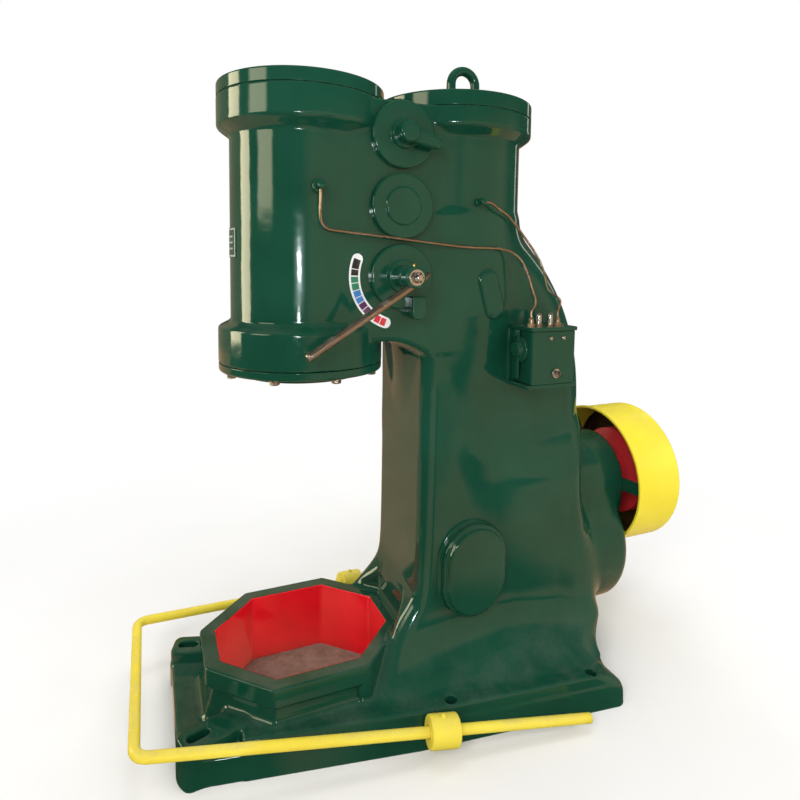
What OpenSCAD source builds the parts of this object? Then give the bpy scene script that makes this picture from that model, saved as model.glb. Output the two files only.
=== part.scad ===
// Pneumatic forging hammer: a column that carries two upright cylinders over an open anvil pit.
// Millimetres. The origin is on the floor under the ram axis, X runs from the front to the
// rear of the machine, Z is up, and the working side with the hand lever faces -Y.

/* [Cylinders] */
// Height of both cylinder covers above the floor
cover_top_z = 1900; // [1880:5:1940]
// Distance from the ram cylinder's axis to the compressor cylinder's axis
cylinder_spacing = 510; // [508:1:520]
// Gap between the two cylinder covers
cover_gap = 5; // [3:1:9]
// How much larger the compressor cylinder's radius is
cylinder_r_step = 11; // [8:1:14]
// Width of the step from a flange to its cylinder
flange_w = 36; // [30:1:42]
// Thickness of the ram cylinder's cover
front_cover_t = 38; // [30:1:44]
// Thickness of the compressor cylinder's cover
rear_cover_t = 45; // [36:1:52]
// Depth of the flange under the ram cylinder's cover
front_flange_h = 85; // [60:1:95]
// Depth of the flange under the compressor cylinder's cover
rear_flange_h = 55; // [45:1:80]
// Length of the ram cylinder with its cover
cylinder_l = 832; // [820:1:845]
// Depth of the ram cylinder's lower flange
lower_flange_h = 132; // [110:1:140]
// Height of the slope between a flange and its cylinder
flange_slope = 26; // [15:1:32]
// Edge chamfer of the covers
cover_edge = 5; // [2:1:8]

/* [Ram] */
// Radius of the ram
ram_r = 92; // [80:1:100]
// How far the ram stands out under its guide
ram_reach = 12; // [5:1:40]
// Radius of the guide's spigot in the cylinder
guide_spigot_r = 150; // [140:1:160]
// Radius of the guide's flange
guide_flange_r = 176; // [168:1:190]
// Thickness of the guide's flange
guide_flange_t = 18; // [14:1:26]
// Depth of the guide's spigot
guide_spigot_h = 60; // [40:1:80]
// Depth of the blind bore over the guide
ram_bore_h = 230; // [160:5:300]
// Width of the die groove at the ram's face
die_groove_w = 78; // [60:1:90]
// Depth of the die groove
die_groove_h = 46; // [30:1:60]

/* [Valve chest] */
// Inset of the valve chest's sides from the ram cylinder
chest_inset = 15; // [11:1:18]
// Height of the arch's crown over the lower flange's face
arch_rise = 93; // [88:1:100]
// Radius of the arch
arch_r = 220; // [200:1:240]
// Distance of the arch's middle from the ram axis
arch_x = 202; // [196:1:208]
// Distance of the upper valve's axis under the covers' tops
upper_valve_drop = 141; // [138:1:144]
// Room between neighbouring valve covers
valve_room = 12; // [9:1:15]
// Clearance of the valve covers between the cylinder flanges
valve_cover_gap = 0.5; // [0.3:0.1:4]
// Thickness of the valve covers
valve_cover_t = 18; // [12:1:20]

/* [Column] */
// Distance of the column's front face from the ram axis
column_front_x = 333; // [326:1:340]
// Inset of the column's sides from the valve chest
column_inset = 6; // [3:1:9]
// Height of the column's top over the lower flange's face
column_top_rise = 50; // [44:1:56]
// Rounding of the column's front corners
column_corner_r = 48; // [30:1:60]
// Distance from the covers' tops to where the shoulder leaves the compressor cylinder
shoulder_drop = 360; // [330:5:390]
// Half the width of the crank housing
housing_half_w = 252; // [240:1:262]
// Distance of the crank housing's rear wall from the ram axis
housing_rear_x = 1000; // [995:1:1010]
// Height of the bend in the rear wall
housing_bend_z = 690; // [660:5:720]
// Distance under the lubricator at which the crank housing starts to widen
housing_drop = 24; // [14:1:34]
// Height over which the crank housing widens
housing_blend = 330; // [300:5:360]
// Height at which the foot's front slope starts
foot_top_z = 325; // [310:1:345]
// Distance of the foot's front edge from the ram axis
foot_front_x = 145; // [130:1:160]
// Half the foot's width at its front
foot_front_half_w = 268; // [255:1:280]
// Half the foot's width at its rear
foot_rear_half_w = 368; // [355:1:372]
// Distance of the foot's rear edge from the ram axis
foot_rear_x = 928; // [912:1:930]

/* [Shaft] */
// Height of the crankshaft
shaft_z = 580; // [574:1:586]
// Radius of the shaft
shaft_r = 40; // [34:1:44]
// Radial running clearance of shafts and pins
running_gap = 0.05; // [0.02:0.01:0.08]
// Radius of the bearing boss
boss_r = 168; // [162:1:172]
// How far the bearing boss stands out of the crank housing
boss_reach = 165; // [162:1:170]
// How far the lower housing stands out of the crank housing
lower_housing_reach = 146; // [140:1:148]
// Drop of the lower housing's centre under the shaft
lower_housing_drop = 224; // [216:1:230]
// Length of the bearing's bore
bearing_l = 140; // [110:1:145]
// Radius of the lower housing
lower_housing_r = 238; // [234:1:239]
// Radius of the bearing cap
bearing_cap_r = 112; // [100:1:120]
// Thickness of the bearing cap
bearing_cap_t = 13; // [10:1:14]

/* [Pulley] */
// Outer radius of the pulley
pulley_r = 164; // [158:1:170]
// Width of the pulley
pulley_w = 76; // [72:1:80]
// Gap between the bearing cap and the pulley
pulley_gap = 80; // [76:1:83]
// Number of belt grooves
groove_count = 3; // [2:1:3]
// Depth of a belt groove
groove_h = 15; // [10:1:18]
// Width of a belt groove at the rim
groove_w = 18; // [14:1:20]
// Thickness of the pulley's rim
rim_t = 30; // [26:1:34]
// Radius of the pulley's hub
pulley_hub_r = 66; // [60:1:72]
// Thickness of the pulley's web
web_t = 26; // [18:1:32]

/* [Belt guard] */
// Outer radius of the belt guard
guard_r = 257; // [252:1:262]
// Sheet thickness of the belt guard
guard_t = 4; // [3:1:5]
// How far the guard's front rim lies in front of the boss's end face
guard_overlap = 15; // [13:1:18]
// Depth of the belt guard
guard_depth = 200; // [197:1:206]
// Bead on the guard's front rim
guard_bead = 5; // [3:1:6]
// Width of a guard strap
strap_w = 46; // [36:1:54]
// Thickness of a guard strap
strap_t = 8; // [6:1:10]
// Height of the belt slot in the guard
belt_slot_h = 150; // [130:1:170]

/* [Base] */
// Distance of the base's front edge in front of the ram axis
base_front_x = 390; // [380:1:395]
// Distance of the base's rear edge from the ram axis
base_rear_x = 950; // [944:1:958]
// Half the base's width at its front
base_front_half_w = 242; // [238:1:250]
// Half the base's width beside the column
base_mid_half_w = 363; // [360:1:368]
// How much wider each side of the base is at its rear than beside the column
base_widening = 85; // [78:1:92]
// Distance of the base's widening point from the ram axis
base_mid_x = 266; // [255:1:275]
// Height of the base plate
plate_h = 110; // [104:1:116]
// Inward slope of the base plate's sides
plate_draft = 8; // [4:1:12]
// Corner cut of the base plate
plate_corner = 38; // [25:1:45]
// Height of the low ledge at the front
ledge_h = 72; // [60:1:80]
// Depth of the low ledge at the front
ledge_l = 165; // [150:1:175]

/* [Anvil pit] */
// Half the pit's length
pit_half_l = 259; // [252:1:264]
// Half the pit's width
pit_half_w = 213; // [206:1:218]
// Corner cut of the pit
pit_corner = 137; // [130:1:142]
// Width of the rim's top
rim_w = 47; // [42:1:50]
// Height of the rim above the floor
rim_top_z = 222; // [216:1:228]
// Height of the rim's edge band
rim_band_h = 56; // [48:1:62]
// Set-back of the wall under the rim
rim_overhang = 20; // [12:1:26]
// Flare of the wall where it meets the plate
pit_flare = 26; // [15:1:32]

/* [Foundation bolts] */
// Radius of the side and rear bolt holes
anchor_hole_r = 17; // [13:1:18]
// Distance of the side holes from the ram axis
side_hole_x = 365; // [360:1:370]
// Distance of the side holes from the middle plane
side_hole_y = 340; // [336:1:342]
// Distance of the rear holes from the ram axis
rear_hole_x = 832; // [826:1:840]
// Distance of the rear holes from the base's side
rear_hole_inset = 48; // [45:1:50]
// Width of a front lug's slot
slot_w = 28; // [22:1:30]
// Length of a front lug's slot
slot_l = 62; // [50:1:66]
// Distance of the lug slots in front of the ram axis
lug_slot_x = 334; // [330:1:338]
// Distance of the lug slots from the middle plane
lug_slot_y = 206; // [202:1:210]
// Angle of the front lugs
lug_angle = 17; // [12:1:22]
// Width of a front lug
lug_w = 88; // [78:1:92]
// Height of the front lugs above the floor
lug_top_z = 115; // [112:1:124]
// Length of a front lug behind its slot
lug_l = 112; // [100:1:120]

/* [Treadle] */
// Radius of the treadle's bar
bar_r = 16; // [14:1:18]
// Distance of the treadle's front bar from the ram axis
treadle_front_x = 490; // [480:1:500]
// Height of the treadle's front bar
treadle_front_z = 175; // [165:1:185]
// How far the treadle's front corners stand out beside the base
treadle_side_gap = 55; // [48:1:62]
// Distance of the treadle's pivot from the ram axis
pivot_x = 300; // [290:1:310]
// Height of the treadle's pivot
pivot_z = 90; // [86:1:94]
// Distance of the treadle's pivoted bars from the base's side
pivot_side_gap = 54; // [51:1:61]
// Length of the treadle's bars behind the pivot
treadle_tail = 470; // [430:5:490]
// Radius of the treadle's bent corners
treadle_bend_r = 36; // [28:1:44]
// Radius of the treadle's collars
collar_r = 43; // [40:1:46]
// Length of the treadle's collars
collar_l = 84; // [78:1:100]
// Radius of the pivot pins
pivot_pin_r = 15; // [12:1:17]
// Length of a pivot pin inside the base
pivot_pin_seat = 60; // [45:1:80]

/* [Hand lever] */
// Radius of the lever's rod
lever_r = 12; // [10:1:13]
// Length of the rod in front of the hub
lever_reach = 360; // [330:5:380]
// Length of the pointed tail behind the hub
lever_tail = 52; // [48:1:60]
// Upward angle of the lever from front to rear
lever_angle = 32.5; // [28:0.5:36]
// Distance of the rod from the chest's face
lever_standoff = 94; // [88:1:100]
// Drop of the rod under the hub's axis
lever_drop = 18; // [16:1:19]
// Radius of the lever's hub
hub_r = 34; // [32:1:36]
// Radius of the hub's spindle in its cover
spindle_r = 17; // [14:1:20]
// Running gap between moving hubs and fixed covers
hub_gap = 0.5; // [0.3:0.1:1]
// Radius of the scale's inner edge
scale_inner_r = 126; // [122:1:128]
// Width of the scale
scale_w = 33; // [28:1:35]
// Thickness of the scale
scale_t = 2; // [1:0.5:3]
// Start angle of the scale
scale_start = 154; // [150:1:162]
// End angle of the scale
scale_end = 257; // [248:1:260]

/* [Upper valve handle] */
// Length of the upper valve's handle
handle_l = 92; // [84:1:98]
// Radius of the handle's boss
handle_boss_r = 29; // [26:1:32]
// Radius of the handle's end
handle_end_r = 17; // [14:1:19]
// Thickness of the handle
handle_t = 24; // [18:1:28]
// Downward angle of the handle
handle_angle = 15; // [8:1:20]

/* [Lubricator] */
// Distance of the lubricator's front from the compressor axis
lub_offset = 122; // [118:1:126]
// Length of the lubricator
lub_l = 164; // [158:1:170]
// Depth of the lubricator
lub_d = 108; // [100:1:114]
// Distance of the lubricator's bottom under the column's top
lub_drop = 94; // [90:1:98]
// Height of the lubricator's box
lub_h = 166; // [160:1:172]
// Thickness of the lubricator's lid
lub_lid_t = 12; // [9:1:14]
// Thickness of the lubricator's bracket
lub_bracket_t = 16; // [12:1:18]
// Radius of the lubricator's fittings
fitting_r = 13; // [11:1:14]
// Height of the lubricator's fittings
fitting_h = 26; // [22:1:30]

/* [Oil pipes] */
// Radius of the copper pipes
pipe_r = 4; // [3:0.5:4]
// Gap between a pipe and the surface that it follows
pipe_gap = 0.3; // [0.2:0.1:0.5]

/* [Hidden] */
eps = 1;
fine = 96;
GREEN = "#19503a";
YELLOW = "#faea46";
RED = "#e1202a";
STEEL = "#78706a";
COPPER = "#a58764";

front_flange_r = (cylinder_spacing - cover_gap - cylinder_r_step) / 2;
rear_flange_r = front_flange_r + cylinder_r_step;
front_body_r = front_flange_r - flange_w;
rear_body_r = rear_flange_r - flange_w;
chest_half_w = front_body_r - chest_inset;
column_half_w = chest_half_w - column_inset;
front_joint_z = cover_top_z - front_cover_t;
rear_joint_z = cover_top_z - rear_cover_t;
lower_flange_z = cover_top_z - cylinder_l;
arch_top_z = lower_flange_z + arch_rise;
column_top_z = lower_flange_z + column_top_rise;
shoulder_top_z = cover_top_z - shoulder_drop;
lub_x = cylinder_spacing + lub_offset;
lub_z = column_top_z - lub_drop;
housing_top_z = lub_z - housing_drop;
boss_end_x = housing_rear_x + boss_reach;
lower_housing_x = housing_rear_x + lower_housing_reach;
guard_front_x = boss_end_x - guard_overlap;
base_rear_half_w = base_mid_half_w + base_widening;
rear_hole_y = base_rear_half_w - rear_hole_inset;
treadle_half_w = base_front_half_w + treadle_side_gap;
pivot_half_w = base_mid_half_w + pivot_side_gap;
// The valves sit in the valley that the two flanges leave along the chest's face.
valley_front_x = sqrt(pow(front_flange_r, 2) - pow(chest_half_w, 2));
valley_rear_x = cylinder_spacing - sqrt(pow(rear_flange_r, 2) - pow(chest_half_w, 2));
valve_x = (valley_front_x + valley_rear_x) / 2;
valve_cover_r = (valley_rear_x - valley_front_x) / 2 - valve_cover_gap;
valve_pitch = 2 * valve_cover_r + valve_room;
upper_valve_z = cover_top_z - upper_valve_drop;
middle_valve_z = upper_valve_z - valve_pitch;
lower_valve_z = middle_valve_z - valve_pitch;
cover_face_y = chest_half_w + valve_cover_t;
pulley_x = boss_end_x + bearing_cap_t + pulley_gap;

// Placing helpers: a shape drawn upwards is turned to grow towards -Y or towards +X.
module toward_near(x, y, z) { translate([x, -y, z]) rotate([90, 0, 0]) children(); }
module toward_rear(x, y, z) { translate([x, y, z]) rotate([0, 90, 0]) children(); }
module on_far_side() { mirror([0, 1, 0]) children(); }

// A disc with a chamfered edge.
module edged_disc(r, t, edge) {
    rotate_extrude($fn = fine) polygon([[0, 0], [r, 0], [r, t - edge], [r - edge, t], [0, t]]);
}

// An eight-cornered outline, grown on all sides by more.
function octagon(half_l, half_w, corner, more = 0) =
    let (l = half_l + more, w = half_w + more, c = corner + more * (2 - sqrt(2)))
    [[-l, w - c], [-l, c - w], [c - l, -w], [l - c, -w], [l, c - w], [l, w - c], [l - c, w], [c - l, w]];
module pit_prism(more, z0, z1) {
    translate([0, 0, z0]) linear_extrude(z1 - z0)
        polygon(octagon(pit_half_l, pit_half_w, pit_corner, more));
}

// ---- Cast body: plan outlines stacked up its height ----
function ease(t) = t <= 0 ? 0 : t >= 1 ? 1 : t * t * (3 - 2 * t);
function mix(a, b, t) = a + (b - a) * t;
function bezier(p, t) = pow(1 - t, 3) * p[0] + 3 * pow(1 - t, 2) * t * p[1]
    + 3 * (1 - t) * t * t * p[2] + t * t * t * p[3];
rear_top_x = cylinder_spacing + rear_body_r - 11;
rear_curve_x = [rear_top_x, rear_top_x + 24, housing_rear_x + 60, housing_rear_x - 70];
rear_curve_z = [shoulder_top_z, shoulder_top_z - 100, shoulder_top_z - 210, housing_bend_z];
// The place along the rear curve that lies at height z, by halving.
function rear_t(z, lo = 0, hi = 1, steps = 22) = let (mid = (lo + hi) / 2)
    steps == 0 ? mid
    : bezier(rear_curve_z, mid) > z ? rear_t(z, mid, hi, steps - 1)
    : rear_t(z, lo, mid, steps - 1);
foot_rise = foot_top_z - plate_h;
heel_top_z = plate_h + 90;
function foot_share(z) = pow(1 - min(1, max(0, (z - plate_h) / foot_rise)), 2.2);
function front_x(z) = column_front_x - (column_front_x - foot_front_x)
    * pow(1 - min(1, max(0, (z - plate_h) / foot_rise)), 0.85);
function rear_x(z) = z >= housing_bend_z ? bezier(rear_curve_x, rear_t(z))
    : z >= heel_top_z
        ? mix(housing_rear_x, housing_rear_x - 70, ease((z - heel_top_z) / (housing_bend_z - heel_top_z)))
    : mix(foot_rear_x, housing_rear_x, ease((z - plate_h) / (heel_top_z - plate_h)));
function side_w(z) = mix(column_half_w, foot_front_half_w, foot_share(z));
function widening(z) = ease((housing_top_z - z) / housing_blend);
function rear_w(z) = mix(mix(column_half_w, housing_half_w, widening(z)), foot_rear_half_w, foot_share(z));
function crease_x(z) = column_front_x + max(column_corner_r + 20, 85 + (housing_top_z - z) * 0.318);
function crease_w(z) = side_w(z) + foot_share(z) * 0.16 * (crease_x(z) - front_x(z));
function ridge_x(z) = crease_x(z) + 165;
function rear_corner_r(z) =
    mix(70, rear_body_r - 36, ease((z - housing_bend_z) / (shoulder_top_z - housing_bend_z)));
function arc(n) = [for (i = [0:n]) 90 * i / n];
function near_half(z) = let (xf = front_x(z), xr = rear_x(z), wf = side_w(z), wr = rear_w(z),
                             rf = column_corner_r, rr = rear_corner_r(z))
    concat([for (a = arc(6)) [xf + rf - rf * cos(a), rf - wf - rf * sin(a), z]],
           [[min(crease_x(z), xr - rr - 30), -crease_w(z), z]],
           [[min(ridge_x(z), xr - rr - 15), -wr, z]],
           [for (a = arc(9)) [xr - rr + rr * sin(a), rr - wr - rr * cos(a), z]]);
function reversed(v) = [for (i = [len(v) - 1:-1:0]) v[i]];
function body_ring(z) = let (h = near_half(z)) concat(h, [for (p = reversed(h)) [p.x, -p.y, p.z]]);
module body_stack(levels) {
    rings = [for (z = levels) body_ring(z)];
    n = len(rings[0]);
    last = (len(rings) - 1) * n;
    sides = [for (k = [0:len(rings) - 2], i = [0:n - 1]) each
        let (a = k * n + i, b = k * n + (i + 1) % n) [[a, a + n, b], [b, a + n, b + n]]];
    polyhedron([for (r = rings) each r],
               concat([[for (i = [0:n - 1]) i]], sides, [[for (i = [n - 1:-1:0]) last + i]]));
}
column_levels = [for (i = [0:20]) plate_h + (column_top_z - plate_h) * pow(i / 20, 1.7)];
shoulder_levels = [for (i = [0:12]) mix(column_top_z, shoulder_top_z, i / 12)];

// ---- Base ----
module lug_slot(side) {
    x = -lug_slot_x;
    y = side * lug_slot_y;
    angle = -side * lug_angle;
    translate([x, y, -eps]) rotate([0, 0, angle]) {
        for (s = [-1, 1]) translate([s * (slot_l - slot_w) / 2, 0, 0])
            cylinder(h = rim_top_z, d = slot_w, $fn = 48);
        translate([-(slot_l - slot_w) / 2, -slot_w / 2, 0]) cube([slot_l - slot_w, slot_w, rim_top_z]);
    }
}
function plate_outline(inset) = let (f = inset - base_front_x, r = base_rear_x - inset, c = plate_corner)
    let (half = [[f, inset + c - base_front_half_w], [f + c, inset - base_front_half_w - c * 0.15],
                 [base_mid_x, inset - base_mid_half_w], [r - c, inset - base_rear_half_w + c * 0.1],
                 [r, inset + c - base_rear_half_w]])
    concat(half, [for (p = reversed(half)) [p.x, -p.y]]);
module plate() {
    hull() {
        linear_extrude(eps) polygon(plate_outline(0));
        translate([0, 0, plate_h - eps]) linear_extrude(eps) polygon(plate_outline(plate_draft));
    }
}
module lug(side) {
    translate([-lug_slot_x, side * lug_slot_y, 0]) rotate([0, 0, side < 0 ? lug_angle : -lug_angle]) {
        translate([0, -lug_w / 2, 0]) cube([lug_l, lug_w, lug_top_z]);
        translate([-6, 0, 0]) cylinder(h = lug_top_z, d = lug_w, $fn = 64);
    }
}
module pit_wall() {
    pit_prism(rim_w - rim_overhang, 0, rim_top_z);
    pit_prism(rim_w, rim_top_z - rim_band_h, rim_top_z);
    hull() {
        pit_prism(rim_w - rim_overhang, rim_top_z - rim_band_h - 30, rim_top_z - rim_band_h - 29);
        pit_prism(rim_w - rim_overhang + pit_flare, ledge_h, ledge_h + 12);
    }
    intersection() {
        pit_prism(rim_w, plate_h - eps, rim_top_z);
        translate([foot_front_x - 40, -base_mid_half_w, 0])
            cube([pit_half_l, 2 * base_mid_half_w, rim_top_z]);
    }
}
module base_casting() {
    color(GREEN) difference() {
        union() {
            difference() {
                plate();
                translate([-base_front_x - eps, -base_mid_half_w, ledge_h])
                    cube([ledge_l + eps, 2 * base_mid_half_w, plate_h]);
            }
            lug(-1);
            lug(1);
            pit_wall();
        }
        pit_prism(0, -eps, rim_top_z + eps);
        for (s = [-1, 1]) {
            lug_slot(s);
            for (hole = [[side_hole_x, side_hole_y], [rear_hole_x, rear_hole_y]])
                translate([hole.x, s * hole.y, -eps])
                    cylinder(h = plate_h + 2 * eps, r = anchor_hole_r, $fn = 48);
        }
        pivot_seat();
        on_far_side() pivot_seat();
    }
}

// ---- Column with crank housing ----
module column_casting() {
    color(GREEN) difference() {
        body_stack(column_levels);
        pit_wall_envelope();
    }
}
// The rim's outline, clear of the foot up to above the foot's front slope.
module pit_wall_envelope() { pit_prism(rim_w, plate_h - eps, foot_top_z + 20); }

// ---- Cylinder block ----
module front_cylinder() {
    rotate_extrude($fn = fine) polygon([[0, lower_flange_z], [front_flange_r - 8, lower_flange_z],
        [front_flange_r, lower_flange_z + 8], [front_flange_r, lower_flange_z + lower_flange_h],
        [front_body_r, lower_flange_z + lower_flange_h + flange_slope * 0.7],
        [front_body_r, front_joint_z - front_flange_h - flange_slope],
        [front_flange_r, front_joint_z - front_flange_h], [front_flange_r, front_joint_z], [0, front_joint_z]]);
}
module rear_cylinder() {
    translate([cylinder_spacing, 0, 0]) rotate_extrude($fn = fine) polygon([[0, column_top_z],
        [rear_body_r, column_top_z], [rear_body_r, rear_joint_z - rear_flange_h - flange_slope],
        [rear_flange_r, rear_joint_z - rear_flange_h], [rear_flange_r, rear_joint_z], [0, rear_joint_z]]);
}
valve_bore_h = 30;
module cylinder_block() {
    color(GREEN) difference() {
        union() {
            front_cylinder();
            difference() {
                union() {
                    translate([0, -chest_half_w, column_top_z])
                        cube([cylinder_spacing, 2 * chest_half_w, rear_joint_z - column_top_z]);
                }
                toward_near(arch_x, -chest_half_w - eps, arch_top_z - arch_r)
                    cylinder(h = 2 * (chest_half_w + eps), r = arch_r, $fn = fine);
            }
            rear_cylinder();
            body_stack(shoulder_levels);
        }
        translate([0, 0, lower_flange_z - eps])
            cylinder(h = guide_spigot_h + eps, r = guide_spigot_r, $fn = fine);
        translate([0, 0, lower_flange_z]) cylinder(h = ram_bore_h, r = ram_r + 1, $fn = fine);
        for (z = [upper_valve_z, lower_valve_z])
            toward_near(valve_x, chest_half_w - valve_bore_h, z)
                cylinder(h = valve_bore_h + eps, r = spindle_r + 6, $fn = 48);
    }
}

// ---- Covers and lifting eye ----
module front_cylinder_cover() {
    color(GREEN) translate([0, 0, front_joint_z]) edged_disc(front_flange_r, front_cover_t, cover_edge);
}
module rear_cylinder_cover() {
    color(GREEN) translate([cylinder_spacing, 0, rear_joint_z])
        edged_disc(rear_flange_r, rear_cover_t, cover_edge);
}
eye_x = cylinder_spacing + 38;
eye_r = 60;
eye_hole_r = 30;
eye_t = 34;
eye_z = cover_top_z + 86;
module lifting_eye() {
    color(GREEN) difference() {
        union() {
            toward_near(eye_x, -eye_t / 2, eye_z) cylinder(h = eye_t, r = eye_r, $fn = fine);
            translate([eye_x - eye_r, -eye_t / 2, cover_top_z]) cube([2 * eye_r, eye_t, eye_z - cover_top_z]);
            translate([eye_x - eye_r - 12, -eye_t, cover_top_z]) cube([2 * eye_r + 24, 2 * eye_t, 14]);
        }
        toward_near(eye_x, -eye_t, eye_z) cylinder(h = 2 * eye_t, r = eye_hole_r, $fn = fine);
    }
}
module vent_plug() {
    color(STEEL) translate([eye_x + 96, 0, cover_top_z]) {
        cylinder(h = 42, r = 15, $fn = 48);
        cylinder(h = 14, r = 24, $fn = 6);
        translate([0, 0, 42]) cylinder(h = 26, r = 20, $fn = 48);
    }
}

// ---- Ram ----
module ram_guide() {
    color(GREEN) translate([0, 0, lower_flange_z]) difference() {
        union() {
            translate([0, 0, -guide_flange_t]) cylinder(h = guide_flange_t, r = guide_flange_r, $fn = fine);
            cylinder(h = guide_spigot_h, r = guide_spigot_r, $fn = fine);
        }
        translate([0, 0, -guide_flange_t - eps])
            cylinder(h = guide_flange_t + guide_spigot_h + 2 * eps, r = ram_r + 0.3, $fn = fine);
    }
}
module ram() {
    z0 = lower_flange_z - guide_flange_t - ram_reach;
    color(STEEL) difference() {
        translate([0, 0, z0]) cylinder(h = lower_flange_z + ram_bore_h - z0, r = ram_r, $fn = fine);
        translate([0, ram_r + eps, z0]) rotate([90, 0, 0]) linear_extrude(2 * (ram_r + eps))
            polygon([[-die_groove_w / 2, -eps], [die_groove_w / 2, -eps],
                     [die_groove_w / 2 + 9, die_groove_h], [-die_groove_w / 2 - 9, die_groove_h]]);
    }
}

// ---- Valve covers ----
module valve_cover(z, boss_r, boss_h, bore_r) {
    toward_near(valve_x, chest_half_w, z) difference() {
        union() {
            edged_disc(valve_cover_r, valve_cover_t, 5);
            cylinder(h = valve_cover_t + boss_h, r = boss_r, $fn = 64);
        }
        if (bore_r > 0) translate([0, 0, -eps])
            cylinder(h = valve_cover_t + boss_h + 2 * eps, r = bore_r, $fn = 64);
    }
}
upper_boss_h = 10;
lower_boss_h = 14;
module upper_valve_cover() {
    color(GREEN) valve_cover(upper_valve_z, handle_boss_r + 10, upper_boss_h, spindle_r + running_gap);
}
module middle_valve_cover() { color(GREEN) valve_cover(middle_valve_z, 52, 4, 0); }
module lower_valve_cover() {
    color(GREEN) valve_cover(lower_valve_z, hub_r + 12, lower_boss_h, spindle_r + running_gap);
}
module far_upper_cover() { color(GREEN) on_far_side() valve_cover(upper_valve_z, 40, 8, 0); }
module far_middle_cover() { color(GREEN) on_far_side() valve_cover(middle_valve_z, 52, 4, 0); }
module far_lower_cover() { color(GREEN) on_far_side() valve_cover(lower_valve_z, 40, 8, 0); }

// ---- Upper valve handle ----
module upper_valve_handle() {
    y = cover_face_y + upper_boss_h + hub_gap;
    color(GREEN) {
        toward_near(valve_x, chest_half_w - 20, upper_valve_z)
            cylinder(h = y - chest_half_w + 21, r = spindle_r, $fn = 64);
        toward_near(valve_x, y, upper_valve_z) {
            cylinder(h = handle_t + 12, r = handle_boss_r, $fn = 64);
            rotate([0, 0, -handle_angle]) hull() {
                translate([0, 0, 2]) cylinder(h = handle_t, r = handle_boss_r - 3, $fn = 32);
                translate([handle_l, 0, 2]) cylinder(h = handle_t, r = handle_end_r, $fn = 32);
            }
        }
    }
}

// ---- Hand lever ----
lever_y = chest_half_w + lever_standoff;
hub_y = cover_face_y + lower_boss_h + hub_gap;
hub_end_y = lever_y + lever_r + 8;
module lever_frame() {
    translate([valve_x, -lever_y, lower_valve_z]) rotate([0, -lever_angle, 0])
        translate([0, 0, -lever_drop]) children();
}
module lever_rod(r, tail) {
    lever_frame() {
        translate([-lever_reach, 0, 0]) rotate([0, 90, 0]) cylinder(h = lever_reach + tail, r = r, $fn = 48);
    }
}
module lever_hub() {
    color(GREEN) difference() {
        union() {
            toward_near(valve_x, chest_half_w - 20, lower_valve_z)
                cylinder(h = hub_y - chest_half_w + 21, r = spindle_r, $fn = 64);
            toward_near(valve_x, hub_y, lower_valve_z) cylinder(h = hub_end_y - hub_y, r = hub_r, $fn = 64);
        }
        lever_rod(lever_r, lever_tail + 20);
    }
}
lever_taper_l = 24;
lever_point_r = 3;
module hand_lever() {
    color(STEEL) {
        lever_rod(lever_r, lever_tail - lever_taper_l);
        lever_frame() {
            translate([lever_tail - lever_taper_l, 0, 0]) rotate([0, 90, 0])
                cylinder(h = lever_taper_l, r1 = lever_r, r2 = lever_point_r, $fn = 48);
            translate([-lever_reach, 0, 0]) sphere(r = lever_r, $fn = 32);
        }
    }
}
module lever_nut() {
    color(STEEL) toward_near(valve_x, hub_end_y, lower_valve_z) {
        cylinder(h = 3, r = 20, $fn = 48);
        translate([0, 0, 3]) cylinder(h = 12, r = 17, $fn = 6);
        translate([0, 0, 15]) cylinder(h = 10, r = 9, $fn = 32);
    }
}
stop_r = 23;
stop_h = 46;
stop_x = valve_x + 42;
stop_z = lower_valve_z - valve_cover_r - 7;
module lever_stop() {
    color(GREEN) difference() {
        toward_near(stop_x, chest_half_w, stop_z) {
            cylinder(h = stop_h, r = stop_r, $fn = 48);
            translate([-stop_r, 0, 0]) cube([2 * stop_r, stop_h, stop_h]);
        }
        toward_near(valve_x, chest_half_w - eps, lower_valve_z)
            cylinder(h = valve_cover_t + eps, r = valve_cover_r + pipe_gap, $fn = fine);
    }
}
module scale_plate() {
    color("white") toward_near(valve_x, chest_half_w, lower_valve_z) linear_extrude(scale_t) polygon(concat(
        [for (a = [scale_start:4:scale_end]) (scale_inner_r + scale_w) * [cos(a), sin(a)]],
        [for (a = [scale_end:-4:scale_start]) scale_inner_r * [cos(a), sin(a)]]));
}

// ---- Plates and side covers ----
name_plate_z = lower_flange_z + lower_flange_h + 202;
name_plate_h = 86;
module name_plate() {
    color("white") translate([0, 0, name_plate_z]) rotate([0, 0, 180 - 16])
        rotate_extrude(angle = 32, $fn = fine) translate([front_body_r, 0]) square([2, name_plate_h]);
}
module obround(half_w, half_h, t) {
    for (s = [-1, 1]) translate([0, s * (half_h - half_w), 0]) cylinder(h = t, r = half_w, $fn = fine);
    translate([-half_w, half_w - half_h, 0]) cube([2 * half_w, 2 * (half_h - half_w), t]);
}
oblong_x = cylinder_spacing + 30;
oblong_z = column_top_z + 182;
oblong_half_w = 36;
oblong_half_h = 80;
oblong_angle = 16;
module oblong_cover() {
    color(GREEN) difference() {
        toward_near(oblong_x, chest_half_w - 20, oblong_z) rotate([0, 0, oblong_angle])
            obround(oblong_half_w, oblong_half_h, rear_body_r - chest_half_w + 30);
        rear_cylinder();
        translate([0, -chest_half_w, column_top_z])
            cube([cylinder_spacing, 2 * chest_half_w, rear_joint_z - column_top_z]);
        body_stack(shoulder_levels);
    }
}
crank_cover_x = cylinder_spacing + 4;
crank_cover_z = 411;
crank_cover_half_w = 114;
crank_cover_half_h = 153;
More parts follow.
